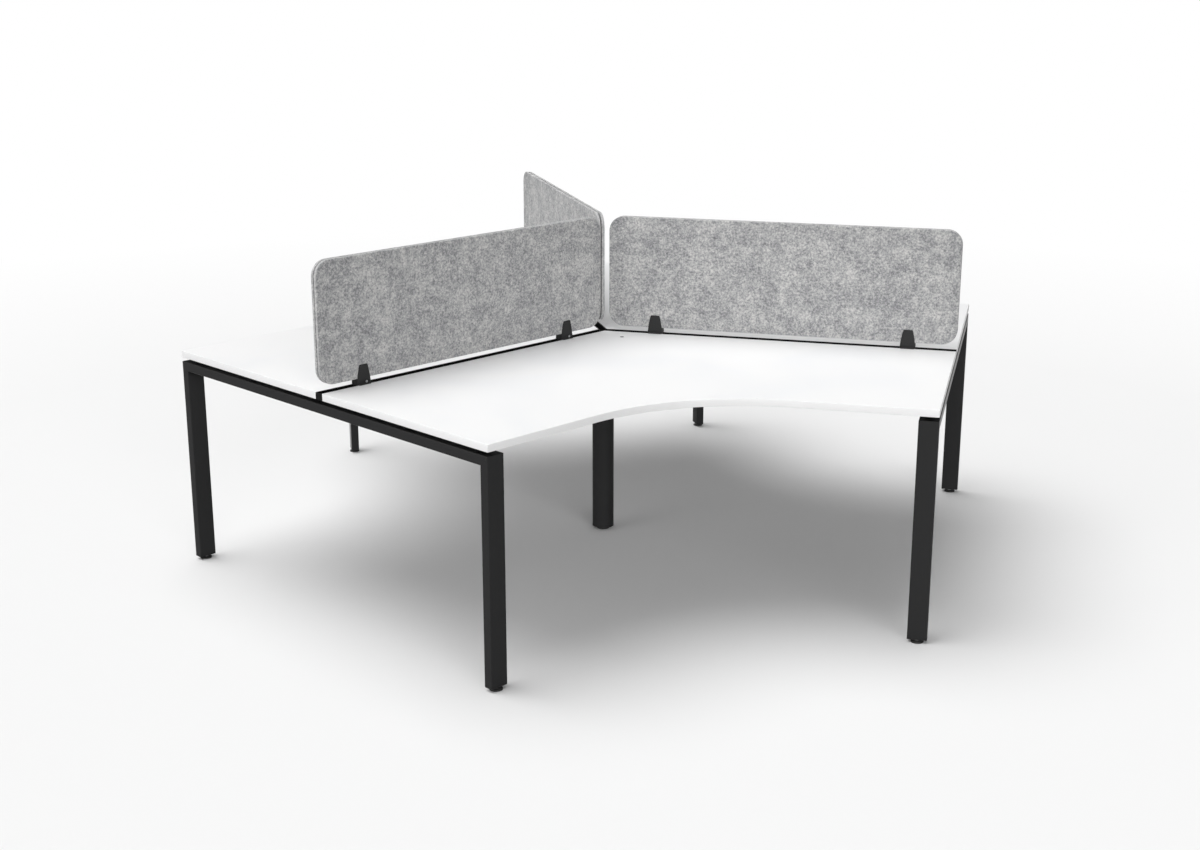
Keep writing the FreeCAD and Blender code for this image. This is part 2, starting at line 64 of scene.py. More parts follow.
# Driving sizes of the pod, the same as in the CAD model

DESK_HEIGHT = 730.0
TOP_THICK = 22.0
TOP_EDGE = 1200.0
TOP_DEPTH = 750.0
HALF_GAP = 14.0
HALF_STEP = math.radians(60.0)
SHADOW_GAP = 13.0
TUBE_WIDE = 60.0
TUBE_THIN = 30.0
FRAME_SETBACK = 2.0
POST_FOOT = 13.0
CENTRE_HALF = 38.0
HEAD_PLATE = 8.0
END_PLATE = 5.0
SHEET = 2.0
SCREEN_LONG = 1180.0
SCREEN_TALL = 380.0
SCREEN_RISE = 20.0
FELT_THICK = 12.0
CLAMP_INSET = 160.0
SEAT = 0.3

# Places worked out from these sizes

ARM_END = TOP_EDGE + HALF_GAP / math.tan(HALF_STEP)
TOP_FAR = HALF_GAP + TOP_DEPTH
TOP_UNDER = DESK_HEIGHT - TOP_THICK
FRAME_TOP = TOP_UNDER - SHADOW_GAP
FRAME_HALF = TOP_FAR - FRAME_SETBACK
RAIL_MIDDLE = ARM_END - TUBE_WIDE / 2
RAIL_UNDER = FRAME_TOP - TUBE_THIN
HEAD_UNDER = RAIL_UNDER - HEAD_PLATE
PLATE_FACE = ARM_END - TUBE_WIDE - END_PLATE
SCREEN_LOW = DESK_HEIGHT + SCREEN_RISE

# Half of the gap between two tops as the photograph shows it, a little wider than in the CAD model
SHOWN_HALF_GAP = 15.5


def about_centre(degrees: float) -> Place:
    """Gives the placing function of one direction round the centre post.

    Args:
        degrees: direction in which reach goes.

    Returns:
        A function from (reach, side, height) in millimetres to a point in metres.
    """
    turn = math.radians(degrees)
    along = Vector((math.cos(turn), math.sin(turn), 0.0))
    across = Vector((-math.sin(turn), math.cos(turn), 0.0))

    def place(reach: float, side: float, height: float) -> Vector:
        """Point in metres."""
        return (along * reach + across * side + Vector((0.0, 0.0, height))) * MM

    return place


class Arm(Enum):
    """Arms of the pod, by the direction in which they leave the centre post, in degrees."""

    LEFT = 210.0
    RIGHT = 330.0
    REAR = 90.0

    @property
    def label(self) -> str:
        """Name of the arm as the CAD nodes spell it."""
        return self.name.lower()

    @property
    def place(self) -> Place:
        """Placing function of the arm."""
        return about_centre(self.value)

    @property
    def sides(self) -> tuple[tuple[float, str], ...]:
        """Sign and name of the arm's two sides, that of the clamp screws first."""
        names = {"LEFT": ("front", "rear"), "RIGHT": ("rear", "front"), "REAR": ("left", "right")}
        return tuple(zip((1.0, -1.0), names[self.name]))


class Seat(Enum):
    """Sitters' sides of the pod, by the direction in which each one sits, in degrees."""

    FRONT = 270.0
    RIGHT = 30.0
    LEFT = 150.0

    @property
    def label(self) -> str:
        """Name of the side as the CAD nodes spell it."""
        return self.name.lower()

    @property
    def place(self) -> Place:
        """Placing function of the side."""
        return about_centre(self.value)


class ClampSpot(Enum):
    """The two clamps of a screen, by how far they stand from the centre post."""

    INNER = ARM_END - SCREEN_LONG + CLAMP_INSET
    OUTER = ARM_END - CLAMP_INSET


class Section(Enum):
    """Shape of a turned piece's cross-section."""

    ROUND = "round"
    HEXAGON = "hexagon"


# Outlines and skins


@dataclass(frozen=True)
class Corner:
    """Corner of a flat outline, with its radius and the steps of its arc."""

    x: float
    y: float
    radius: float = 0.0
    steps: int = 0


@dataclass(frozen=True)
class Outline:
    """Flat closed outline with rounded corners, given anticlockwise, that can be drawn in evenly."""

    corners: tuple[Corner, ...]

    def drawn_in(self, inset: float) -> list[Point]:
        """Samples the outline drawn in by an even margin.

        Args:
            inset: margin in millimetres; every margin gives the same number of points.

        Returns:
            Points of the outline.
        """
        points: list[Point] = []
        count = len(self.corners)
        for index, corner in enumerate(self.corners):
            before = self.corners[index - 1]
            after = self.corners[(index + 1) % count]
            here = Vector((corner.x, corner.y))
            come = (here - Vector((before.x, before.y))).normalized()
            leave = (Vector((after.x, after.y)) - here).normalized()
            turn = math.atan2(come.x * leave.y - come.y * leave.x, come.dot(leave))
            inwards = Vector((-come.y - leave.y, come.x + leave.x))
            tip = here + inwards * (inset / (1.0 + come.dot(leave)))
            sense = 1.0 if turn > 0 else -1.0
            radius = max(corner.radius - sense * inset, 0.0)
            if corner.steps == 0:
                points.append((tip.x, tip.y))
                continue
            start = tip - come * (radius * math.tan(abs(turn) / 2))
            centre = start + Vector((-come.y, come.x)) * (sense * radius)
            spoke = start - centre
            for step in range(corner.steps + 1):
                angle = turn * step / corner.steps
                cos, sin = math.cos(angle), math.sin(angle)
                points.append((centre.x + spoke.x * cos - spoke.y * sin,
                               centre.y + spoke.x * sin + spoke.y * cos))
        return points


def box_outline(low: Point, high: Point, radius: float, steps: int) -> Outline:
    """Outline of a rounded rectangle.

    Args:
        low: lowest corner.
        high: highest corner.
        radius: corner radius.
        steps: steps of each corner's arc.

    Returns:
        The outline.
    """
    places = ((low[0], low[1]), (high[0], low[1]), (high[0], high[1]), (low[0], high[1]))
    return Outline(tuple(Corner(x, y, radius, steps) for x, y in places))


def rim_rows(ease: float, face: float, sense: float, steps: int) -> list[Point]:
    """Gives the rows of a rounded rim.

    Args:
        ease: radius of the rim.
        face: depth of the face that the rim borders.
        sense: +1 where a skin begins at that face, -1 where it ends there.
        steps: steps of the rim's arc.

    Returns:
        Rows of (inset, depth), in the order in which the skin passes them.
    """
    turns = [math.pi / 2 * step / steps for step in range(steps + 1)]
    rows = [(ease * (1 - math.sin(turn)), face + sense * ease * (1 - math.cos(turn))) for turn in turns]
    return rows if sense > 0 else rows[::-1]


class Shell:
    """Skin of one piece: rings of points joined by faces."""

    merged = 2e-6
    sliver = 1e-6

    def __init__(self) -> None:
        """Starts with no points and no faces."""
        self.points: list[Vector] = []
        self.faces: list[tuple[int, ...]] = []

    def ring(self, points: Iterable[Vector]) -> list[int]:
        """Adds points.

        Args:
            points: the points in metres.

        Returns:
            Their numbers.
        """
        start = len(self.points)
        self.points.extend(points)
        return list(range(start, len(self.points)))

    def band(self, low: Sequence[int], high: Sequence[int]) -> None:
        """Joins two closed rings by a band of faces.

        Args:
            low: numbers of the first ring.
            high: numbers of the second ring, as many.
        """
        count = len(low)
        for here in range(count):
            after = (here + 1) % count
            self.faces.append((low[here], low[after], high[after], high[here]))

    def loft(self, rings: Sequence[Iterable[Vector]], closed: bool = False) -> None:
        """Skins a row of rings.

        Args:
            rings: rings of equal count, in order.
            closed: joins the last ring to the first instead of capping both.
        """
        numbers = [self.ring(points) for points in rings]
        for low, high in zip(numbers, numbers[1:]):
            self.band(low, high)
        if closed:
            self.band(numbers[-1], numbers[0])
        else:
            self.faces.append(tuple(reversed(numbers[0])))
            self.faces.append(tuple(numbers[-1]))

    def piece(self, name: str, crease: float = 35.0) -> Piece:
        """Makes the object, with smooth faces and creases at sharp angles.

        Args:
            name: name of the piece.
            crease: angle in degrees above which an edge stays sharp.

        Returns:
            The new object, in the scene.
        """
        mesh = bpy.data.meshes.new(name)
        mesh.from_pydata([tuple(point) for point in self.points], [], self.faces)
        draft = bmesh.new()
        draft.from_mesh(mesh)
        bmesh.ops.remove_doubles(draft, verts=draft.verts, dist=self.merged)
        bmesh.ops.dissolve_degenerate(draft, edges=draft.edges, dist=self.sliver)
        bmesh.ops.recalc_face_normals(draft, faces=draft.faces)
        draft.to_mesh(mesh)
        draft.free()
        mesh.shade_smooth()
        mesh.set_sharp_from_angle(angle=math.radians(crease))
        made = bpy.data.objects.new(name, mesh)
        bpy.context.scene.collection.objects.link(made)
        return made


def slab(shell: Shell, outline: Outline, faces: Range, ease: float, spread: Callable[[Point, float], Vector],
         steps: int = 3) -> None:
    """Adds a flat piece with rounded rims.

    Args:
        shell: skin that it is added to.
        outline: its outline.
        faces: depths of its two faces.
        ease: radius of both rims.
        spread: turns an outline point and a depth into a place.
        steps: steps of each rim's arc.
    """
    rows = rim_rows(ease, faces[0], 1.0, steps) + rim_rows(ease, faces[1], -1.0, steps)
    shell.loft([[spread(point, depth) for point in outline.drawn_in(inset)] for inset, depth in rows])


@dataclass(frozen=True)
class Spindle:
    """Axis on which a turned piece is made."""

    place: Place
    reach: float
    side: float
    height: float
    toward: Triple = (0.0, 0.0, 1.0)

    def ring(self, radius: float, along: float, section: Section = Section.ROUND, count: int = 48,
             clip: float = math.inf) -> list[Vector]:
        """Gives one ring of a turned piece.

        Args:
            radius: radius, or half the width across flats of a hexagon.
            along: distance along the axis.
            section: shape of the ring.
            count: number of points, a multiple of 6.
            clip: greatest radius.

        Returns:
            The ring's points.
        """
        axis = Vector(self.toward)
        first = axis.orthogonal().normalized()
        second = axis.cross(first)
        middle = Vector((self.reach, self.side, self.height)) + axis * along
        points = []
        for step in range(count):
            angle = 2 * math.pi * step / count
            size = radius
            if section is Section.HEXAGON:
                size = min(radius / math.cos((angle % (math.pi / 3)) - math.pi / 6), clip)
            spot = middle + (first * math.cos(angle) + second * math.sin(angle)) * size
            points.append(self.place(spot.x, spot.y, spot.z))
        return points


def turned(shell: Shell, spindle: Spindle, profile: Turning, count: int = 48, tip: float = 0.01) -> None:
    """Adds a round piece turned from a profile of (radius, along)."""
    shell.loft([spindle.ring(max(radius, tip), along, count=count) for radius, along in profile])


@dataclass(frozen=True)
class SocketHead:
    """Screw head with a hexagon socket in its outer face, which lies at its spindle's origin."""

    profile: Turning
    wide: float
    deep: float
    count: int = 24
    lead_share: float = 1.16
    lead_deep: float = 0.15
    floor_share: float = 0.97
    drill_share: float = 1.1
    tip: float = 0.02

    def add(self, shell: Shell, spindle: Spindle) -> None:
        """Adds the head to a skin.

        Args:
            shell: skin that it is added to.
            spindle: its axis, which the head goes along.
        """
        half = self.wide / 2
        rings = [spindle.ring(radius, along, count=self.count) for radius, along in self.profile]
        rings.append(spindle.ring(half * self.lead_share, 0.0, count=self.count))
        rings.append(spindle.ring(half, self.lead_deep, Section.HEXAGON, self.count))
        rings.append(spindle.ring(half * self.floor_share, self.deep, Section.HEXAGON, self.count))
        rings.append(spindle.ring(self.tip, self.deep * self.drill_share, count=self.count))
        shell.loft(rings)


def carve(piece: Piece, tool: Piece) -> None:
    """Cuts a tool out of a piece and removes the tool.

    Args:
        piece: piece that is cut.
        tool: shape of the cut.
    """
    cut = piece.modifiers.new("carve", "BOOLEAN")
    cut.operation = "DIFFERENCE"
    cut.solver = "EXACT"
    cut.object = tool
    graph = bpy.context.evaluated_depsgraph_get()
    mesh = bpy.data.meshes.new_from_object(piece.evaluated_get(graph))
    piece.modifiers.clear()
    piece.data = mesh
    bpy.data.objects.remove(tool)


def join(piece: Piece, other: Piece) -> None:
    """Adds the mesh of another piece to a piece and removes the other.

    Args:
        piece: piece that grows.
        other: piece that goes into it.
    """
    draft = bmesh.new()
    draft.from_mesh(piece.data)
    draft.from_mesh(other.data)
    draft.to_mesh(piece.data)
    draft.free()
    bpy.data.objects.remove(other)


# Node groups

UNIT: Range = (0.0, 1.0)


@dataclass(frozen=True)
class Grain:
    """Settings of a noise, with the range of its values that is used."""

    scale: float
    detail: float
    roughness: float = 0.5
    warp: float = 0.0
    used: Range = (0.3, 0.7)


class Graph:
    """Short way to add and join the nodes of one tree."""

    def __init__(self, tree: bpy.types.NodeTree) -> None:
        """Keeps the tree."""
        self.tree = tree

    def add(self, kind: str, settings: dict | None = None, **inputs: object) -> Node:
        """Adds a node.

        Args:
            kind: type of node, without the leading ShaderNode.
            settings: properties of the node.
            inputs: sockets by name with underscores for spaces; a socket is linked, anything else is a value.

        Returns:
            The node.
        """
        node = self.tree.nodes.new("ShaderNode" + kind)
        for name, value in (settings or {}).items():
            setattr(node, name, value)
        for name, value in inputs.items():
            self.put(node, name.replace("_", " "), value)
        return node

    def put(self, node: Node, name: str | int, value: object) -> None:
        """Links a socket to an input, or sets the input's value.

        Args:
            node: node with the input.
            name: name or number of the input.
            value: socket to link, or value to set.
        """
        if isinstance(value, Socket):
            self.tree.links.new(value, node.inputs[name])
        else:
            node.inputs[name].default_value = value

    def math(self, operation: str, first: object, second: object = 0.0, clamp: bool = False) -> Socket:
        """Adds a Math node.

        Args:
            operation: what it works out.
            first: first value or socket.
            second: second value or socket.
            clamp: keeps the result between 0 and 1.

        Returns:
            Its output.
        """
        node = self.add("Math", {"operation": operation, "use_clamp": clamp})
        self.put(node, 0, first)
        self.put(node, 1, second)
        return node.outputs[0]

    def vector(self, operation: str, first: object, second: object | None = None, **inputs: object) -> Node:
        """Adds a Vector Math node.

        Args:
            operation: what it works out.
            first: first vector.
            second: second vector, where the operation has one.
            inputs: further inputs by name.

        Returns:
            The node.
        """
        node = self.add("VectorMath", {"operation": operation}, **inputs)
        self.put(node, 0, first)
        if second is not None:
            self.put(node, 1, second)
        return node

    def span(self, value: object, source: Range, target: Range = UNIT) -> Socket:
        """Maps a value from one range on to another, clamped."""
        return self.add("MapRange", None, Value=value, From_Min=source[0], From_Max=source[1],
                        To_Min=target[0], To_Max=target[1]).outputs[0]

    def blend(self, share: object, first: object, second: object) -> Socket:
        """Mixes two colours.

        Args:
            share: share of the second colour.
            first: first colour.
            second: second colour.

        Returns:
            The mixed colour.
        """
        node = self.add("Mix", {"data_type": "RGBA", "clamp_factor": True})
        for number, value in ((0, share), (6, first), (7, second)):
            self.put(node, number, value)
        return node.outputs[2]

    def grain(self, where: object, grain: Grain, scale: object = None) -> Socket:
        """Adds a Noise Texture; a scale that is given takes the place of the grain's own."""
        return self.add("TexNoise", None, Vector=where, Scale=grain.scale if scale is None else scale,
                        Detail=grain.detail, Roughness=grain.roughness, Distortion=grain.warp).outputs[0]

    def mottle(self, where: object, grain: Grain, target: Range = UNIT) -> Socket:
        """Maps the used range of a grain on to another range."""
        return self.span(self.grain(where, grain), grain.used, target)

    def apart(self, vector: Socket, axis: int) -> Socket:
        """Gives one coordinate of a vector."""
        return self.add("SeparateXYZ", None, Vector=vector).outputs[axis]

    def mix_shaders(self, share: Socket, first: Socket, second: Socket) -> Socket:
        """Mixes two shaders.

        Args:
            share: share of the second shader.
            first: first shader.
            second: second shader.

        Returns:
            The mixed shader.
        """
        node = self.add("MixShader")
        for number, value in enumerate((share, first, second)):
            self.put(node, number, value)
        return node.outputs[0]

    def where(self) -> Socket:
        """Place on the piece, in metres."""
        return self.add("TexCoord").outputs["Object"]


@dataclass(frozen=True)
class Effect:
    """Shader node group that several finishes share."""

    name: str
    inputs: tuple[tuple[str, float], ...]
    outputs: tuple[str, ...]
    fill: Callable[[Graph, Node], dict[str, Socket]]

    def tree(self) -> bpy.types.NodeTree:
        """Builds the group once.

        Returns:
            The group's tree.
        """
        found = bpy.data.node_groups.get(self.name)
        if found:
            return found
        made = bpy.data.node_groups.new(self.name, "ShaderNodeTree")
        for name, value in self.inputs:
            socket = made.interface.new_socket(name, in_out="INPUT", socket_type="NodeSocketFloat")
            socket.default_value = value
        for name in self.outputs:
            made.interface.new_socket(name, in_out="OUTPUT", socket_type="NodeSocketFloat")
        entry = made.nodes.new("NodeGroupInput")
        leave = made.nodes.new("NodeGroupOutput")
        for name, socket in self.fill(Graph(made), entry).items():
            made.links.new(socket, leave.inputs[name])
        return made

    def use(self, graph: Graph, **values: float) -> Node:
        """Places the group in a material with its own values.

        Args:
            graph: the material's graph.
            values: values of the group's inputs, with underscores for spaces.

        Returns:
            The group node.
        """
        node = graph.tree.nodes.new("ShaderNodeGroup")
        node.node_tree = self.tree()
        for name, value in values.items():
            node.inputs[name.replace("_", " ")].default_value = value
        return node


SPECKS = Grain(800.0, 3.0, 0.6)
WIPES = Grain(3.0, 4.0, 0.55, 0.8, (0.42, 0.62))
RUBS = Grain(90.0, 5.0, 0.65, 0.0, (0.42, 0.66))
SETTLING = Grain(14.0, 6.0, 0.6, 0.0, (0.35, 0.7))
LEAST_RUB = 0.15
LEAST_DUST = 0.3
RIM_SAMPLES = 4
SHADE_SAMPLES = 8
RIM_TURNED: Range = (0.995, 0.90)
LOOKS_UP: Range = (0.35, 0.95)
SHADE_FROM_OCCLUSION: Range = (0.85, 0.35)


def fill_speckle(graph: Graph, entry: Node) -> dict[str, Socket]:
    """Fine even speckle: a soft value and the height of its grains."""
    fine = graph.grain(graph.where(), SPECKS, entry.outputs["Scale"])
    return {"Value": graph.span(fine, SPECKS.used), "Height": fine}


def fill_handling(graph: Graph, entry: Node) -> dict[str, Socket]:
    """Wide faint patches where a surface was wiped and handled."""
    wide = graph.span(graph.grain(graph.where(), WIPES, entry.outputs["Scale"]), WIPES.used)
    return {"Patches": graph.math("MULTIPLY", wide, entry.outputs["Strength"])}


def fill_edges(graph: Graph, entry: Node) -> dict[str, Socket]:
    """Rims and corners where a coat is rubbed thin, broken up by noise.

    Args:
        graph: the group's graph.
        entry: its input node.

    Returns:
        The group's outputs by name.
    """
    bevel = graph.add("Bevel", {"samples": RIM_SAMPLES}, Radius=entry.outputs["Width"])
    real = graph.add("NewGeometry").outputs["True Normal"]
    both = graph.vector("DOT_PRODUCT", bevel.outputs[0], real)
    rim = graph.span(both.outputs["Value"], RIM_TURNED)
    share = graph.math("MULTIPLY", rim, graph.mottle(graph.where(), RUBS, (LEAST_RUB, 1.0)))
    return {"Rim": graph.math("MULTIPLY", share, entry.outputs["Strength"], True)}


def fill_dust(graph: Graph, entry: Node) -> dict[str, Socket]:
    """Fine dust on faces that look up.

    Args:
        graph: the group's graph.
        entry: its input node.

    Returns:
        The group's outputs by name.
    """
    upward = graph.span(graph.apart(graph.add("NewGeometry").outputs["Normal"], 2), LOOKS_UP)
    share = graph.math("MULTIPLY", upward, graph.mottle(graph.where(), SETTLING, (LEAST_DUST, 1.0)))
    return {"Dust": graph.math("MULTIPLY", share, entry.outputs["Strength"])}


def fill_nook_shade(graph: Graph, entry: Node) -> dict[str, Socket]:
    """Mask of painted shade, from ambient occlusion, for nooks that light hardly reaches, such as the slot
    between a rail and a top.

    Args:
        graph: the group's graph.
        entry: its input node.

    Returns:
        The group's outputs by name.
    """
    around = graph.add("AmbientOcclusion", {"samples": SHADE_SAMPLES}, Distance=entry.outputs["Reach"])
    closed = graph.span(around.outputs["AO"], SHADE_FROM_OCCLUSION)
    return {"Nook": graph.math("MULTIPLY", closed, entry.outputs["Strength"], True)}


SPECKLE = Effect("fine_speckle", (("Scale", SPECKS.scale),), ("Value", "Height"), fill_speckle)
HANDLING = Effect("handling_patches", (("Scale", WIPES.scale), ("Strength", 1.0)), ("Patches",),
                  fill_handling)
EDGES = Effect("rubbed_edges", (("Width", 0.001), ("Strength", 0.5)), ("Rim",), fill_edges)
DUST = Effect("settled_dust", (("Strength", 0.2),), ("Dust",), fill_dust)
# Mask of painted shade in nooks, by which the edging and the powder coats darken their colour
NOOK_SHADE = Effect("painted_nook_shade", (("Reach", 0.03), ("Strength", 0.8)), ("Nook",), fill_nook_shade)

# Finishes

MIXED: dict[str, bpy.types.Material] = {}
DUST_TINT: Colour = (0.42, 0.41, 0.39)


def rgba(colour: Colour, level: float = 1.0) -> tuple[float, ...]:
    """Colour for a socket, brightened or darkened by a level."""
    return tuple(part * level for part in colour) + (1.0,)


def grey(level: float) -> tuple[float, ...]:
    """Neutral colour of one level."""
    return (level, level, level, 1.0)


class Finish:
    """Base of every finish: a named material made once."""

    name: str

    def paint(self, graph: Graph, shader: Node) -> None:
        """Joins the finish's nodes to its shader."""
        raise NotImplementedError

    def material(self) -> bpy.types.Material:
        """Makes the material once.

        Returns:
            The material.
        """
        if self.name not in MIXED:
            made = MIXED[self.name] = bpy.data.materials.new(self.name)
            made.use_nodes = True
            shader = next(node for node in made.node_tree.nodes if node.type == "BSDF_PRINCIPLED")
            self.paint(Graph(made.node_tree), shader)
        return MIXED[self.name]


def roughen(graph: Graph, shader: Node, wide: Socket, spread: Range, fine: Socket, speck: float) -> None:
    """Sets a roughness that varies widely and, on top of that, finely.

    Args:
        graph: the material's graph.
        shader: its Principled BSDF.
        wide: value that varies widely.
        spread: roughness where it is 0 and where it is 1.
        fine: value that varies finely.
        speck: how far it takes the roughness down and up.
    """
    rough = graph.math("ADD", graph.span(wide, UNIT, spread), graph.span(fine, UNIT, (-speck, speck)))
    graph.put(shader, "Roughness", rough)


def bump(graph: Graph, shader: Node, height: Socket, strength: float, deep: float) -> None:
    """Feeds a height through a Bump node into a shader's normal.

    Args:
        graph: the material's graph.
        shader: its Principled BSDF.
        height: value of the height.
        strength: strength of the bump.
        deep: depth of the relief in metres.
    """
    node = graph.add("Bump", None, Strength=strength, Distance=deep, Height=height)
    graph.put(shader, "Normal", node.outputs[0])


@dataclass(frozen=True)
class Laminate(Finish):
    """Matt white melamine on chipboard: a faint pearl grain and wiped patches."""

    name: str = "matt_laminate"
    tone: float = 0.93
    shade_share: float = 0.975
    wiped: Colour = (0.975, 0.98, 0.99)
    grain: float = 1400.0
    patch: float = 2.6
    roughness: Range = (0.46, 0.37)
    speck: float = 0.03
    shine: float = 0.35
    relief: float = 0.12
    deep: float = 0.00005

    def paint(self, graph: Graph, shader: Node) -> None:
        """Joins the laminate's nodes to its shader.

        Args:
            graph: the material's graph.
            shader: its Principled BSDF.
        """
        speckle = SPECKLE.use(graph, Scale=self.grain)
        patches = HANDLING.use(graph, Scale=self.patch, Strength=1.0).outputs["Patches"]
        tint = graph.blend(speckle.outputs["Value"], grey(self.tone * self.shade_share), grey(self.tone))
        graph.put(shader, "Base Color", graph.blend(patches, tint, rgba(self.wiped, self.tone)))
        roughen(graph, shader, patches, self.roughness, speckle.outputs["Value"], self.speck)
        graph.put(shader, "Specular IOR Level", self.shine)
        bump(graph, shader, speckle.outputs["Height"], self.relief, self.deep)


@dataclass(frozen=True)
class EdgeBand(Finish):
    """White plastic edging, rolled on: fine lengthwise lines and softer gloss than the laminate, with painted
    shade where it lies deep in a nook.
    """

    name: str = "edge_plastic"
    tone: float = 0.92
    shade_share: float = 0.97
    worn_share: float = 0.9
    lines: Grain = Grain(900.0, 2.0)
    stretch: Triple = (60.0, 60.0, 1.0)
    grain: float = 700.0
    rim_wide: float = 0.0008
    rim: float = 0.35
    # Reach, strength and dark colour of the painted shade in nooks
    nook_reach: float = 0.02
    nook: float = 0.9
    nook_tone: float = 0.05
    roughness: Range = (0.30, 0.42)
    shine: float = 0.4
    relief: float = 0.15
    deep: float = 0.00006

    def paint(self, graph: Graph, shader: Node) -> None:
        """Joins the edging's nodes to its shader.

        Args:
            graph: the material's graph.
            shader: its Principled BSDF.
        """
        flat = graph.add("Mapping", {"vector_type": "TEXTURE"}, Vector=graph.where(), Scale=self.stretch)
        lines = graph.grain(flat.outputs[0], self.lines)
        speckle = SPECKLE.use(graph, Scale=self.grain)
        tint = graph.blend(graph.span(lines, self.lines.used), grey(self.tone * self.shade_share),
                           grey(self.tone))
        rim = EDGES.use(graph, Width=self.rim_wide, Strength=self.rim)
        worn = graph.blend(rim.outputs["Rim"], tint, grey(self.tone * self.worn_share))
        # Painted shade: the colour goes dark in nooks, such as the slot between two tops
        nook = NOOK_SHADE.use(graph, Reach=self.nook_reach, Strength=self.nook)
        graph.put(shader, "Base Color", graph.blend(nook.outputs["Nook"], worn, grey(self.nook_tone)))
        graph.put(shader, "Roughness", graph.span(speckle.outputs["Value"], UNIT, self.roughness))
        graph.put(shader, "Specular IOR Level", self.shine)
        bump(graph, shader, lines, self.relief, self.deep)


@dataclass(frozen=True)
class PowderCoat(Finish):
    """Matt powder coat on steel: orange peel, fine speckle, dust and rubbed rims, with a painted highlight
    where it is seen at a graze and painted shade in nooks.
    """

    name: str = "frame_powder"
    tone: Colour = (0.024, 0.024, 0.0245)
    rubbed: float = 0.06
    roughness: float = 0.55
    peel: float = 420.0
    dust: float = 0.03
    wear: float = 0.25
    # Painted highlight: how pale the colour turns where the coat is seen at a graze, over which facing range,
    # towards which grey
    painted_graze_highlight: float = 0.5
    highlight_facing_span: Range = (0.74, 0.93)
    highlight_tone: float = 0.8
    dark_share: float = 0.72
    light_share: float = 1.3
    speckle_share: float = 3.0
    rim_wide: float = 0.0009
    # Reach, strength and near-black colour of the painted shade in nooks
    nook_reach: float = 0.03
    nook: float = 0.9
    nook_tone: float = 0.002
    patch: float = 5.0
    duller: float = 0.05
    glossier: float = 0.04
    speck: float = 0.04
    shine: float = 0.15
    relief: float = 0.45
    deep: float = 0.0002

    def paint(self, graph: Graph, shader: Node) -> None:
        """Joins the coat's nodes to its shader.

        Args:
            graph: the material's graph.
            shader: its Principled BSDF.
        """
        speckle = SPECKLE.use(graph, Scale=self.peel * self.speckle_share).outputs["Value"]
        peel = SPECKLE.use(graph, Scale=self.peel)
        rim = EDGES.use(graph, Width=self.rim_wide, Strength=self.wear).outputs["Rim"]
        dust = DUST.use(graph, Strength=self.dust).outputs["Dust"]
        patches = HANDLING.use(graph, Scale=self.patch, Strength=1.0).outputs["Patches"]
        # Painted shade in nooks, such as the slot between a rail and a top
        nook = NOOK_SHADE.use(graph, Reach=self.nook_reach, Strength=self.nook).outputs["Nook"]
        # Painted highlight: the colour turns pale towards the silhouette, where the coat is seen at a graze
        facing = graph.add("LayerWeight", None, Blend=0.5).outputs["Facing"]
        painted_graze_highlight = graph.span(facing, self.highlight_facing_span, (0.0, self.painted_graze_highlight))
        tint = graph.blend(speckle, rgba(self.tone, self.dark_share), rgba(self.tone, self.light_share))
        worn = graph.blend(rim, tint, grey(self.rubbed))
        dusty = graph.blend(dust, worn, rgba(DUST_TINT))
        highlighted = graph.blend(painted_graze_highlight, dusty, grey(self.highlight_tone))
        graph.put(shader, "Base Color", graph.blend(nook, highlighted, grey(self.nook_tone)))
        spread = (self.roughness + self.duller, self.roughness - self.glossier)
        roughen(graph, shader, patches, spread, peel.outputs["Value"], self.speck)
        graph.put(shader, "Specular IOR Level", self.shine)
        bump(graph, shader, peel.outputs["Height"], self.relief, self.deep)


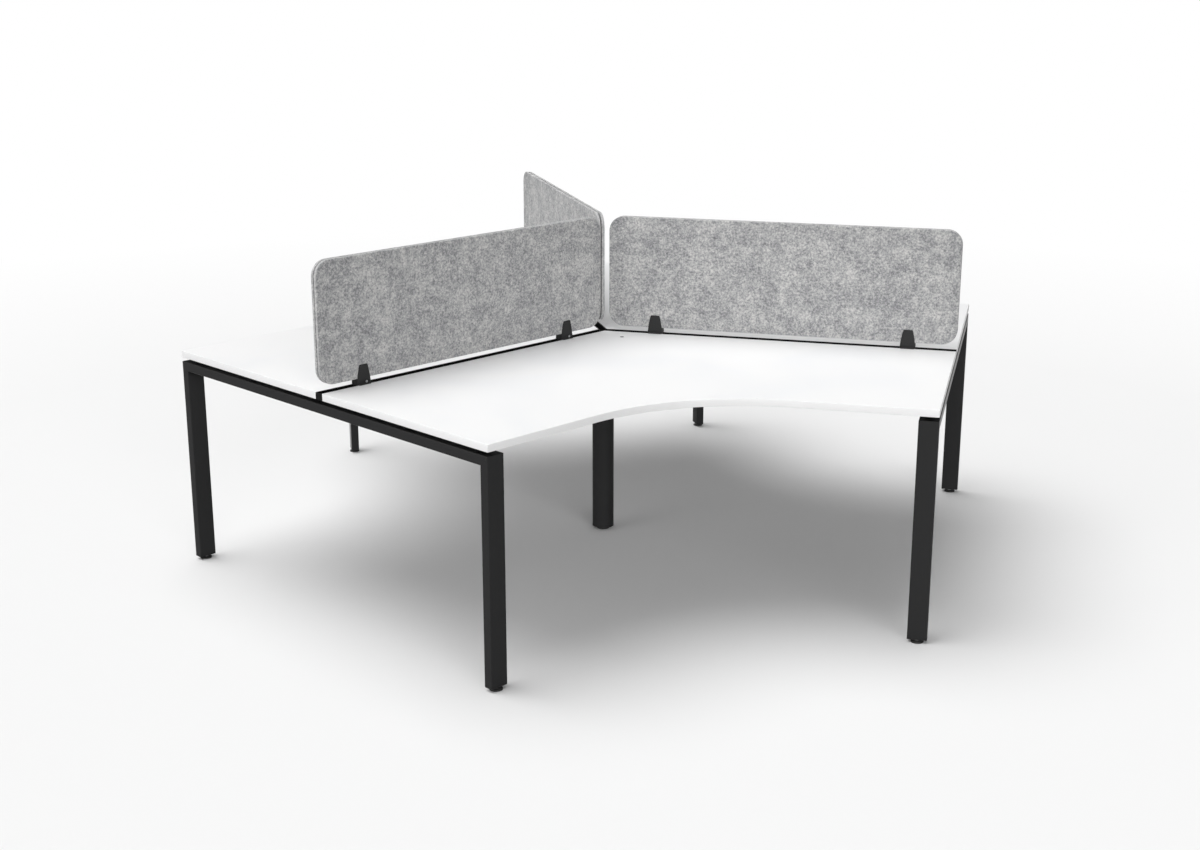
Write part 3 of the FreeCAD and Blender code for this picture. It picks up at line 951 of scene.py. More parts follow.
@dataclass(frozen=True)
class PressedFelt(Finish):
    """Pressed felt of mottled grey fibres: tufts, clumps, clouds and hair-fine fibres that lie every way,
    with a painted highlight on the boards' cut rims.
    """

    name: str = "pressed_felt"
    turn: float = 0.0
    dark: float = 0.18
    mid: float = 0.365
    light: float = 0.605
    cool: Colour = (0.975, 0.99, 1.04)
    even: Colour = (0.995, 1.0, 1.012)
    warm: Colour = (1.012, 1.0, 0.972)
    tone_ends: Range = (0.05, 0.95)
    layers: tuple[tuple[float, Grain], ...] = (
        (0.40, Grain(150.0, 5.0, 0.66, 0.25, (0.32, 0.68))),
        (0.17, Grain(52.0, 4.0, 0.6, 0.4, (0.32, 0.68))),
        (0.12, Grain(13.0, 3.0, 0.5, 0.4, (0.33, 0.67))),
    )
    hairs: float = 0.17
    hair: Grain = Grain(700.0, 1.0)
    hair_finer: float = 90.0
    hair_drawn: Triple = (9.0, 1.0, 1.0)
    hair_wide: float = 0.07
    lies: tuple[float, ...] = (8.0, 52.0, 97.0, 141.0)
    swirl: float = 70.0
    swirl_detail: float = 2.0
    swirl_reach: float = 0.006
    # Painted highlight on the cut rims: its pale grey, its share, and the depths from the seam between which
    # it lies
    cut: float = 0.80
    rim_highlight_share: float = 0.28
    rim_highlight_spans: tuple[Range, ...] = ((0.0112, 0.0100), (0.0023, 0.0033))
    roughness: Range = (0.96, 0.88)
    shine: float = 0.15
    sheen: float = 0.2
    sheen_roughness: float = 0.6
    relief: float = 0.7
    deep: float = 0.0007

    def paint(self, graph: Graph, shader: Node) -> None:
        """Joins the felt's nodes to its shader.

        Args:
            graph: the material's graph.
            shader: its Principled BSDF.
        """
        board = graph.add("Mapping", None, Vector=graph.where(),
                          Rotation=(0.0, 0.0, -math.radians(self.turn)))
        where = board.outputs[0]
        value = self.mottling(graph, where)
        # The cut rims are blended towards a pale grey as a painted highlight
        colour = graph.blend(self.rim(graph, where), self.tones(graph, value), grey(self.cut))
        graph.put(shader, "Base Color", colour)
        graph.put(shader, "Roughness", graph.span(value, UNIT, self.roughness))
        graph.put(shader, "Specular IOR Level", self.shine)
        graph.put(shader, "Sheen Weight", self.sheen)
        graph.put(shader, "Sheen Roughness", self.sheen_roughness)
        bump(graph, shader, value, self.relief, self.deep)

    def mottling(self, graph: Graph, where: Socket) -> Socket:
        """Adds up the layers of fibres.

        Args:
            graph: the material's graph.
            where: coordinates along the board.

        Returns:
            Value of the felt's tone, from 0 to 1.
        """
        swirl = graph.add("TexNoise", None, Vector=where, Scale=self.swirl, Detail=self.swirl_detail)
        offset = graph.vector("SCALE", swirl.outputs["Color"], Scale=self.swirl_reach)
        bent = graph.vector("ADD", where, offset.outputs[0]).outputs[0]
        value: Socket | float = 0.0
        for share, grain in self.layers:
            layer = graph.mottle(where, grain, (-1.0, 1.0))
            value = graph.math("ADD", value, graph.math("MULTIPLY", layer, share))
        for number, lie in enumerate(self.lies):
            hair = self.fibres(graph, bent, math.radians(lie), self.hair.scale + self.hair_finer * number)
            sign = self.hairs if number % 2 else -self.hairs
            value = graph.math("ADD", value, graph.math("MULTIPLY", hair, sign))
        return graph.math("ADD", value, 0.5, True)

    def tones(self, graph: Graph, value: Socket) -> Socket:
        """Turns the value of the fibres into a colour, cool where dark and warm where light.

        Args:
            graph: the material's graph.
            value: value of the felt's tone.

        Returns:
            The colour.
        """
        ramp = graph.add("ValToRGB")
        graph.put(ramp, 0, value)
        stops = ramp.color_ramp.elements
        stops[0].position, stops[0].color = self.tone_ends[0], rgba(self.cool, self.dark)
        stops[1].position, stops[1].color = self.tone_ends[1], rgba(self.warm, self.light)
        stops.new(0.5).color = rgba(self.even, self.mid)
        return ramp.outputs[0]

    def rim(self, graph: Graph, where: Socket) -> Socket:
        """Marks the cut edges of the boards, where a paler colour is blended in as a painted highlight.

        Args:
            graph: the material's graph.
            where: coordinates along the board, with the depth from its seam as Y.

        Returns:
            Share of the paler colour.
        """
        depth = graph.math("ABSOLUTE", graph.apart(where, 1))
        share: Socket | float = self.rim_highlight_share
        for edge in self.rim_highlight_spans:
            share = graph.math("MULTIPLY", graph.span(depth, edge), share)
        return share

    def fibres(self, graph: Graph, where: Socket, lie: float, scale: float) -> Socket:
        """Gives hair-fine fibres that lie one way in the board's plane.

        Args:
            graph: the material's graph.
            where: place on the board.
            lie: angle of the fibres in radians.
            scale: fineness of the fibres.

        Returns:
            Value of the fibres, from 0 to 1.
        """
        laid = graph.add("Mapping", None, Vector=where, Rotation=(0.0, lie, 0.0)).outputs[0]
        drawn = graph.add("Mapping", {"vector_type": "TEXTURE"}, Vector=laid, Scale=self.hair_drawn)
        lines = graph.grain(drawn.outputs[0], self.hair, scale)
        ridge = graph.math("ABSOLUTE", graph.math("SUBTRACT", lines, 0.5))
        return graph.span(ridge, (0.0, self.hair_wide), (1.0, 0.0))


@dataclass(frozen=True)
class ZincPlate(Finish):
    """Zinc plate on turned steel: fine turning marks, dull bloom and bright rims."""

    name: str = "zinc_plate"
    tone: float = 0.55
    bloomed: Colour = (0.44, 0.45, 0.47)
    bright: float = 0.72
    grain: float = 1500.0
    bloom: float = 120.0
    rim_wide: float = 0.0004
    rim: float = 0.6
    roughness: Range = (0.30, 0.46)
    speck: float = 0.05
    relief: float = 0.15
    deep: float = 0.00004

    def paint(self, graph: Graph, shader: Node) -> None:
        """Joins the plate's nodes to its shader.

        Args:
            graph: the material's graph.
            shader: its Principled BSDF.
        """
        speckle = SPECKLE.use(graph, Scale=self.grain)
        bloom = HANDLING.use(graph, Scale=self.bloom, Strength=1.0).outputs["Patches"]
        rim = EDGES.use(graph, Width=self.rim_wide, Strength=self.rim)
        tint = graph.blend(bloom, grey(self.tone), rgba(self.bloomed))
        graph.put(shader, "Base Color", graph.blend(rim.outputs["Rim"], tint, grey(self.bright)))
        graph.put(shader, "Metallic", 1.0)
        roughen(graph, shader, bloom, self.roughness, speckle.outputs["Value"], self.speck)
        bump(graph, shader, speckle.outputs["Height"], self.relief, self.deep)


@dataclass(frozen=True)
class MouldedPlastic(Finish):
    """Moulded plastic with a spark-eroded grain, scuffed at its rims."""

    name: str = "moulded_plastic"
    tone: float = 0.016
    dark_share: float = 0.8
    light_share: float = 1.2
    scuffed: float = 0.07
    roughness: float = 0.52
    uneven: float = 0.06
    texture: float = 900.0
    rim_wide: float = 0.0007
    rim: float = 0.4
    dust: float = 0.06
    relief: float = 0.25
    deep: float = 0.0001

    def paint(self, graph: Graph, shader: Node) -> None:
        """Joins the plastic's nodes to its shader.

        Args:
            graph: the material's graph.
            shader: its Principled BSDF.
        """
        speckle = SPECKLE.use(graph, Scale=self.texture)
        fine = speckle.outputs["Value"]
        rim = EDGES.use(graph, Width=self.rim_wide, Strength=self.rim)
        dust = DUST.use(graph, Strength=self.dust)
        tint = graph.blend(fine, grey(self.tone * self.dark_share), grey(self.tone * self.light_share))
        worn = graph.blend(rim.outputs["Rim"], tint, grey(self.scuffed))
        graph.put(shader, "Base Color", graph.blend(dust.outputs["Dust"], worn, rgba(DUST_TINT)))
        spread = (self.roughness - self.uneven, self.roughness + self.uneven)
        graph.put(shader, "Roughness", graph.span(fine, UNIT, spread))
        bump(graph, shader, speckle.outputs["Height"], self.relief, self.deep)


@dataclass(frozen=True)
class StudioFloor(Finish):
    """Seamless pale studio floor that keeps the pod's shadow and fades into the white backdrop.

    The camera sees it lighter than the pod does, so that it throws little light up at the pod.
    """

    name: str = "floor_paper"
    tone: float = 0.45
    seen: float = 0.84
    cloudy: Grain = Grain(2.0, 3.0)
    cloud_share: float = 0.985
    roughness: Range = (0.88, 0.92)
    fade: Range = (3.2, 6.5)

    def paint(self, graph: Graph, shader: Node) -> None:
        """Joins the floor's nodes to its shader.

        Args:
            graph: the material's graph.
            shader: its Principled BSDF.
        """
        where = graph.where()
        faint = graph.mottle(where, self.cloudy, (self.cloud_share, 1.0))
        seen = graph.add("LightPath").outputs["Is Camera Ray"]
        plain = graph.blend(faint, grey(self.tone * self.cloud_share), grey(self.tone))
        graph.put(shader, "Base Color", graph.blend(seen, plain, grey(self.seen)))
        graph.put(shader, "Roughness", graph.span(faint, (self.cloud_share, 1.0), self.roughness))
        graph.put(shader, "Specular IOR Level", 0.0)
        glow = graph.add("Emission", None, Color=grey(1.0), Strength=1.0)
        away = graph.span(graph.vector("LENGTH", where).outputs["Value"], self.fade)
        mixed = graph.mix_shaders(graph.math("MULTIPLY", away, seen), shader.outputs[0], glow.outputs[0])
        end = next(node for node in graph.tree.nodes if node.type == "OUTPUT_MATERIAL")
        graph.put(end, "Surface", mixed)


LAMINATE = Laminate()
EDGING = EdgeBand()
FRAME_COAT = PowderCoat()
CHANNEL_COAT = PowderCoat("channel_powder", (0.006, 0.006, 0.006), rubbed=0.03, dust=0.015, wear=0.15)
CLAMP_COAT = PowderCoat("clamp_powder", (0.029, 0.029, 0.0295), 0.08, 0.48, 700.0, 0.02, 0.3)
FELTS = {arm: PressedFelt("pressed_felt_" + arm.label, arm.value) for arm in Arm}
ZINC = ZincPlate()
PLASTIC = MouldedPlastic()
# A near-black sheet in each screen's seam, standing in for the shade in the groove between the boards
SEAM_SHADE_PLASTIC = MouldedPlastic("seam_shade_plastic", 0.012, scuffed=0.02, roughness=0.8, texture=500.0)


def dress(piece: Piece, finish: Finish) -> None:
    """Puts a finish on a piece, in every material slot that it has.

    Args:
        piece: the piece.
        finish: its finish.
    """
    made = finish.material()
    if not piece.material_slots:
        piece.data.materials.append(made)
    for holder in piece.material_slots:
        holder.material = made


def dress_nodes(names: Iterable[str], finish: Finish) -> None:
    """Puts a finish on CAD nodes that stay in view.

    Args:
        names: names of the nodes.
        finish: their finish.
    """
    for name in names:
        dress(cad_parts[name], finish)
        LOG.info("kept %s in %s", name, finish.name)


def install(piece: Piece, body: str, finish: Finish, slot: str, *nodes: str) -> None:
    """Dresses a new piece, makes it ride on its body and hides the nodes that it stands for.

    Args:
        piece: the new piece.
        body: CAD body that it moves with.
        finish: its finish.
        slot: name of a material slot; not used.
        nodes: CAD nodes that it stands for.
    """
    dress(piece, finish)
    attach(piece, body)
    if nodes:
        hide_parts(*nodes)
    LOG.info("made %s on %s, %d faces", piece.name, body, len(piece.data.polygons))


# Sub-assemblies


@dataclass
class Worktops:
    """The three boomerang tops: boards, edge bands and hole caps."""

    near: float = HALF_GAP
    seam: float = SHOWN_HALF_GAP
    corner: float = 3.0
    corner_steps: int = 6
    bay: float = 600.0
    bay_steps: int = 48
    band: float = 2.0
    ease: float = 1.0
    ease_steps: int = 4
    lip: float = 0.12
    cap_reach: float = 126.5
    cap_side: float = 32.0
    cap: float = 6.6
    cap_rim: Range = (0.05, 0.25)
    cap_proud: float = 0.7
    cap_turns: tuple[float, ...] = (0.3, 0.6, 0.9, 1.2, 1.5)
    cap_stem: float = 5.4
    cap_stem_top: float = -0.1
    cap_stem_foot: float = -9.0

    def outline(self, near: float) -> Outline:
        """Draws a top whose sitter is along its own X.

        Args:
            near: distance of its straight edges from the middle of the gaps.

        Returns:
            The outline.
        """
        cos, sin = math.cos(HALF_STEP), math.sin(HALF_STEP)

        def beside(off: float, side: float) -> Point:
            """End of a top's edge, off the middle of its arm."""
            return (ARM_END * cos + off * sin, side * (ARM_END * sin - off * cos))

        rounded = (self.corner, self.corner_steps)
        corners = (((near / sin, 0.0), (0.0, 0)),
                   (beside(near, -1.0), rounded),
                   (beside(TOP_FAR, -1.0), rounded),
                   ((TOP_FAR / sin, 0.0), (self.bay, self.bay_steps)),
                   (beside(TOP_FAR, 1.0), rounded),
                   (beside(near, 1.0), rounded))
        return Outline(tuple(Corner(*spot, *bend) for spot, bend in corners))

    def build_band(self, seat: Seat) -> Piece:
        """Makes the edge band of one top, with rounded rims and the gap as wide as it shows.

        Args:
            seat: sitter's side of the top.

        Returns:
            The band.
        """
        outer = self.outline(self.seam).drawn_in(0.0)
        inner = self.outline(self.near).drawn_in(self.band)
        place = seat.place
        rows = [(self.band, TOP_UNDER)]
        rows += rim_rows(self.ease, TOP_UNDER, 1.0, self.ease_steps)
        rows += rim_rows(self.ease, DESK_HEIGHT, -1.0, self.ease_steps)
        rows += [(self.band - self.lip, DESK_HEIGHT), (self.band, DESK_HEIGHT - self.lip)]
        loops: list[list[Vector]] = []
        for inset, height in rows:
            share = inset / self.band
            loops.append([place(x + (to_x - x) * share, y + (to_y - y) * share, height)
                          for (x, y), (to_x, to_y) in zip(outer, inner)])
        shell = Shell()
        shell.loft(loops, True)
        return shell.piece("edge_band_" + seat.label)

    def build_cap(self, seat: Seat) -> Piece:
        """Makes the hole cap of one top: a low dome with a turned-down rim.

        Args:
            seat: sitter's side of the top.

        Returns:
            The cap.
        """
        low, high = self.cap_rim
        profile = [(0.0, self.cap_stem_foot), (self.cap_stem, self.cap_stem_foot),
                   (self.cap_stem, self.cap_stem_top), (self.cap, low), (self.cap, high)]
        profile += [(self.cap * math.cos(turn), high + (self.cap_proud - high) * math.sin(turn))
                    for turn in self.cap_turns]
        shell = Shell()
        turned(shell, Spindle(seat.place, self.cap_reach, self.cap_side, DESK_HEIGHT), profile)
        return shell.piece("hole_cap_" + seat.label)

    def build(self) -> None:
        """Makes and dresses every piece of the tops."""
        for seat in Seat:
            install(self.build_band(seat), "frame", EDGING, "white_edging", "edge_bands")
            install(self.build_cap(seat), "frame", PLASTIC, "black_plastic", "hole_caps")
        dress_nodes(("desktop_front", "desktop_left", "desktop_right"), LAMINATE)


@dataclass
class EndFrames:
    """The three end frames: a rail and two posts of box tube, mitred at the corners."""

    corner: float = 2.2
    corner_steps: int = 5
    groove: float = 0.35

    def section(self, low: float, high: float) -> Outline:
        """Section of a rail between two heights, or of a post between two sides."""
        half = TUBE_WIDE / 2
        return box_outline((RAIL_MIDDLE - half, low), (RAIL_MIDDLE + half, high),
                           self.corner, self.corner_steps)

    def build_rail(self, arm: Arm) -> Piece:
        """Makes the rail of one end frame.

        Args:
            arm: arm that the frame ends.

        Returns:
            The rail.
        """
        place = arm.place
        outline = self.section(RAIL_UNDER, FRAME_TOP)
        drawn, full = outline.drawn_in(self.groove), outline.drawn_in(0.0)

        def cut(points: Sequence[Point], sense: float, back: float) -> list[Vector]:
            """Ring where a mitre, moved back by a margin, cuts the rail."""
            return [place(x, sense * (FRAME_HALF - (FRAME_TOP - z) - back), z) for x, z in points]

        shell = Shell()
        shell.loft([cut(drawn, -1.0, 0.0), cut(full, -1.0, self.groove),
                    cut(full, 1.0, self.groove), cut(drawn, 1.0, 0.0)])
        return shell.piece("rail_" + arm.label)

    def build_post(self, arm: Arm, sense: float, end: str) -> Piece:
        """Makes one post of an end frame.

        Args:
            arm: arm that the frame ends.
            sense: sign of the post's side.
            end: name of that side.

        Returns:
            The post.
        """
        place = arm.place
        outline = self.section(*sorted((sense * FRAME_HALF, sense * (FRAME_HALF - TUBE_THIN))))
        drawn, full = outline.drawn_in(self.groove), outline.drawn_in(0.0)

        def mitre(side: float) -> float:
            """Height at which the mitre passes a side."""
            return FRAME_TOP - (FRAME_HALF - abs(side))

        shell = Shell()
        shell.loft([[place(x, y, POST_FOOT) for x, y in drawn],
                    [place(x, y, POST_FOOT + self.groove) for x, y in full],
                    [place(x, y, mitre(y) - self.groove) for x, y in full],
                    [place(x, y, mitre(y)) for x, y in drawn]])
        return shell.piece("upright_" + arm.label + "_" + end)

    def build(self) -> None:
        """Makes and dresses every rail and post."""
        for arm in Arm:
            install(self.build_rail(arm), "frame", FRAME_COAT, "dark_coat", "end_rail_" + arm.label)
            for sense, end in arm.sides:
                node = "post_" + arm.label + "_" + end
                install(self.build_post(arm, sense, end), "frame", FRAME_COAT, "dark_coat", node)


@dataclass
class CentreSpine:
    """The centre post, its head plate, the beams, crossbars, spacers, gap channels and their black strips."""

    post_ease: float = 0.4
    post_sides: int = 96
    weld: float = 4.0
    weld_root: float = 0.5
    collar_sides: int = 144
    collar_ripples: int = 36
    collar_ripple: float = 0.10
    collar_shoulder_share: float = 0.62
    collar_bite: float = 0.2
    collar_lap: float = 0.1
    bead_half: float = 15.0
    bead_margin: float = 2.0
    bead_steps: int = 30
    bead_pace: float = 2.1
    bead_ripple: float = 0.12
    bead_end_share: float = 0.55
    bead_bite: float = 0.3
    seal_inner: float = HALF_GAP - 0.35
    seal_ends: Range = (9.2, ARM_END - 0.183)
    seal_heights: Range = (TOP_UNDER + 0.6, DESK_HEIGHT - 0.5)
    seal_corner: float = 0.3
    seal_corner_steps: int = 2
    seal_ease: float = 0.2
    seal_ease_steps: int = 1

    def build_post(self) -> Piece:
        """Makes the round centre post with a softened rim at its foot.

        Returns:
            The post.
        """
        foot, head, ease = POST_FOOT, HEAD_UNDER, self.post_ease
        profile = [(0.0, foot), (CENTRE_HALF - ease, foot), (CENTRE_HALF, foot + ease),
                   (CENTRE_HALF, head - ease), (CENTRE_HALF - ease, head), (0.0, head)]
        shell = Shell()
        turned(shell, Spindle(about_centre(0.0), 0.0, 0.0, 0.0), profile, self.post_sides)
        return shell.piece("round_post")

    def build_collar(self) -> Piece:
        """Makes the weld bead under the head plate, rippled as laid by hand.

        Returns:
            The bead.
        """
        place = about_centre(0.0)
        rings = []
        for step in range(self.collar_sides):
            turn = 2 * math.pi * step / self.collar_sides
            bead = self.weld * (1.0 + self.collar_ripple * math.cos(turn * self.collar_ripples))
            shoulder = bead * self.collar_shoulder_share
            spots = [(-self.weld_root, self.collar_bite), (bead, self.collar_lap), (shoulder, -shoulder),
                     (self.collar_lap, -bead), (-self.weld_root, -self.weld)]
            rings.append([place(math.cos(turn) * (CENTRE_HALF + out), math.sin(turn) * (CENTRE_HALF + out),
                                HEAD_UNDER + up) for out, up in spots])
        shell = Shell()
        shell.loft(rings, True)
        return shell.piece("head_weld")

    def build_beads(self, arm: Arm) -> Piece:
        """Makes the weld beads between a beam and its end plate.

        Args:
            arm: arm of the beam.

        Returns:
            Both beads.
        """
        place = arm.place
        low = RAIL_UNDER + self.bead_margin
        tall = TUBE_THIN - 2 * self.bead_margin
        bite = self.bead_bite
        shell = Shell()
        for sense in (-1.0, 1.0):
            rings = []
            for step in range(self.bead_steps + 1):
                height = low + tall * step / self.bead_steps
                bead = self.weld * (1.0 + self.bead_ripple * math.cos(step * self.bead_pace))
                if step in (0, self.bead_steps):
                    bead *= self.bead_end_share
                spots = [(bite, -bite), (bite, bead), (-bead / 2, bead / 2), (-bead, -bite)]
                rings.append([place(PLATE_FACE + along, sense * (self.bead_half + off), height)
                              for along, off in spots])
            shell.loft(rings)
        return shell.piece("beam_weld_" + arm.label)

    def build_seal(self, arm: Arm, sense: float, end: str) -> Piece:
        """Makes the black strip between a gap channel and the edge of a top.

        Args:
            arm: arm of the channel.
            sense: sign of the channel's side.
            end: name of that side.

        Returns:
            The strip.
        """
        place = arm.place
        outline = box_outline((self.seal_ends[0], self.seal_inner), (self.seal_ends[1], SHOWN_HALF_GAP),
                              self.seal_corner, self.seal_corner_steps)
        shell = Shell()
        slab(shell, outline, self.seal_heights, self.seal_ease,
             lambda point, height: place(point[0], sense * point[1], height), self.seal_ease_steps)
        return shell.piece("gap_seal_" + arm.label + "_" + end)

    def build(self) -> None:
        """Makes and dresses every piece of the spine."""
        install(self.build_post(), "frame", FRAME_COAT, "dark_coat", "centre_post")
        install(self.build_collar(), "frame", FRAME_COAT, "dark_coat")
        for arm in Arm:
            install(self.build_beads(arm), "frame", FRAME_COAT, "dark_coat")
        dress_nodes(["centre_head", "crossbars"] + ["beam_" + arm.label for arm in Arm], FRAME_COAT)
        dress_nodes(["gap_channel_" + arm.label for arm in Arm], CHANNEL_COAT)
        for arm in Arm:
            for sense, end in arm.sides:
                install(self.build_seal(arm, sense, end), "frame", CHANNEL_COAT, "black_plastic")
        dress_nodes(["top_spacers"], PLASTIC)


@dataclass
class Screens:
    """The three desk screens: two felt boards each, glued back to back, with a dark core sheet recessed in
    the seam that stands in for the shade in that groove.
    """

    start: float = ARM_END - SCREEN_LONG - 3.583
    corner: float = 50.0
    face_round: float = 2.6
    seam_round: float = 1.4
    round_steps: int = 4
    back: float = 0.95
    back_in: float = 4.2
    core_half: float = 1.9
    core_in: float = 7.0
    columns: int = 54
    straight_rows: int = 14
    corner_rows: int = 9
    swell: float = 0.35
    swell_bias: float = 0.6
    swell_fade: float = 30.0
    swell_fineness: Range = (0.011, 0.013)
    swell_apart: float = 3.0
    crease: float = 60.0

    def edge_points(self, inset: float) -> tuple[list[Point], list[Point]]:
        """Gives both ends of every row of a board, from its foot to its head.

        Args:
            inset: even margin by which the board is drawn in.

        Returns:
            Points of the inner edge and of the outer edge, as (reach, height).
        """
        radius = self.corner - inset
        turns = [math.pi / 2 * step / self.corner_rows for step in range(self.corner_rows + 1)]
        bend = [(self.corner - radius * math.sin(turn), self.corner - radius * math.cos(turn))
                for turn in turns]
        straight = SCREEN_TALL - 2 * self.corner
        rows = bend + [(inset, self.corner + straight * row / self.straight_rows)
                       for row in range(1, self.straight_rows)]
        rows += [(back, SCREEN_TALL - rise) for back, rise in reversed(bend)]
        left = [(self.start + back, SCREEN_LOW + rise) for back, rise in rows]
        right = [(ARM_END - back, SCREEN_LOW + rise) for back, rise in rows]
        return left, right

    def rim(self, inset: float) -> list[Point]:
        """Gives the whole edge of a board as one ring.

        Args:
            inset: even margin by which it is drawn in.

        Returns:
            Points of the ring, as (reach, height).
        """
        left, right = self.edge_points(inset)

        def between(first: Point, last: Point) -> list[Point]:
            """Inner points of a level row."""
            return [(first[0] + (last[0] - first[0]) * step / self.columns, first[1])
                    for step in range(1, self.columns)]

        return between(left[0], right[0]) + right + between(right[-1], left[-1]) + left[::-1]

    def dip(self, x: float, z: float, seed: float) -> float:
        """Gives how far the face of a board swells at a place.

        Args:
            x: reach of the place.
            z: its height.
            seed: number that parts the boards.

        Returns:
            Swell in millimetres, below zero where the face dips.
        """
        high = SCREEN_LOW + SCREEN_TALL
        margin = min(x - self.start, ARM_END - x, z - SCREEN_LOW, high - z) - self.face_round
        ease = min(max(margin, 0.0) / self.swell_fade, 1.0)
        fine = self.swell_fineness
        return ease * self.swell * (noise.noise(Vector((x * fine[0], z * fine[1], seed))) - self.swell_bias)

    def build_board(self, arm: Arm, sense: float, end: str) -> Piece:
        """Makes one felt board, its face a grid with a slight swell.

        Args:
            arm: arm that the screen stands on.
            sense: sign of the board's side.
            end: name of that side.

        Returns:
            The board.
        """
        place = arm.place
        seed = sense * self.swell_apart + arm.value
        shell = Shell()
        rows = [(self.back_in, self.back)]
        rows += rim_rows(self.seam_round, self.core_half, 1.0, self.round_steps)
        rows += rim_rows(self.face_round, FELT_THICK, -1.0, self.round_steps)
        rings = [shell.ring(place(x, sense * depth, z) for x, z in self.rim(inset)) for inset, depth in rows]
        for low, high in zip(rings, rings[1:]):
            shell.band(low, high)
        shell.faces.append(tuple(rings[0]))
        grid: list[list[int]] = []
        for first, last in zip(*self.edge_points(self.face_round)):
            reaches = [first[0] + (last[0] - first[0]) * (column / self.columns)
                       for column in range(self.columns + 1)]
            grid.append(shell.ring(place(x, sense * (FELT_THICK + self.dip(x, first[1], seed)), first[1])
                                   for x in reaches))
        for low, high in zip(grid, grid[1:]):
            for column in range(self.columns):
                shell.faces.append((low[column], low[column + 1], high[column + 1], high[column]))
        return shell.piece("felt_" + arm.label + "_" + end, self.crease)

    def build_seam_shade_core(self, arm: Arm) -> Piece:
        """Makes the dark core sheet between the boards of one screen, recessed in the seam, which stands in
        for the shade in that groove.

        Args:
            arm: arm that the screen stands on.

        Returns:
            The core.
        """
        place = arm.place
        shell = Shell()
        shell.loft([[place(x, side, z) for x, z in self.rim(self.core_in)]
                    for side in (-self.core_half, self.core_half)])
        return shell.piece("screen_core_" + arm.label)

    def build(self) -> None:
        """Makes and dresses every screen."""
        for arm in Arm:
            for sense, end in arm.sides:
                board = self.build_board(arm, sense, end)
                install(board, "frame", FELTS[arm], "grey_felt", "screen_" + arm.label)
            # Dark core sheet in the seam, standing in for its shade
            install(self.build_seam_shade_core(arm), "frame", SEAM_SHADE_PLASTIC, "black_plastic", "screen_" + arm.label)


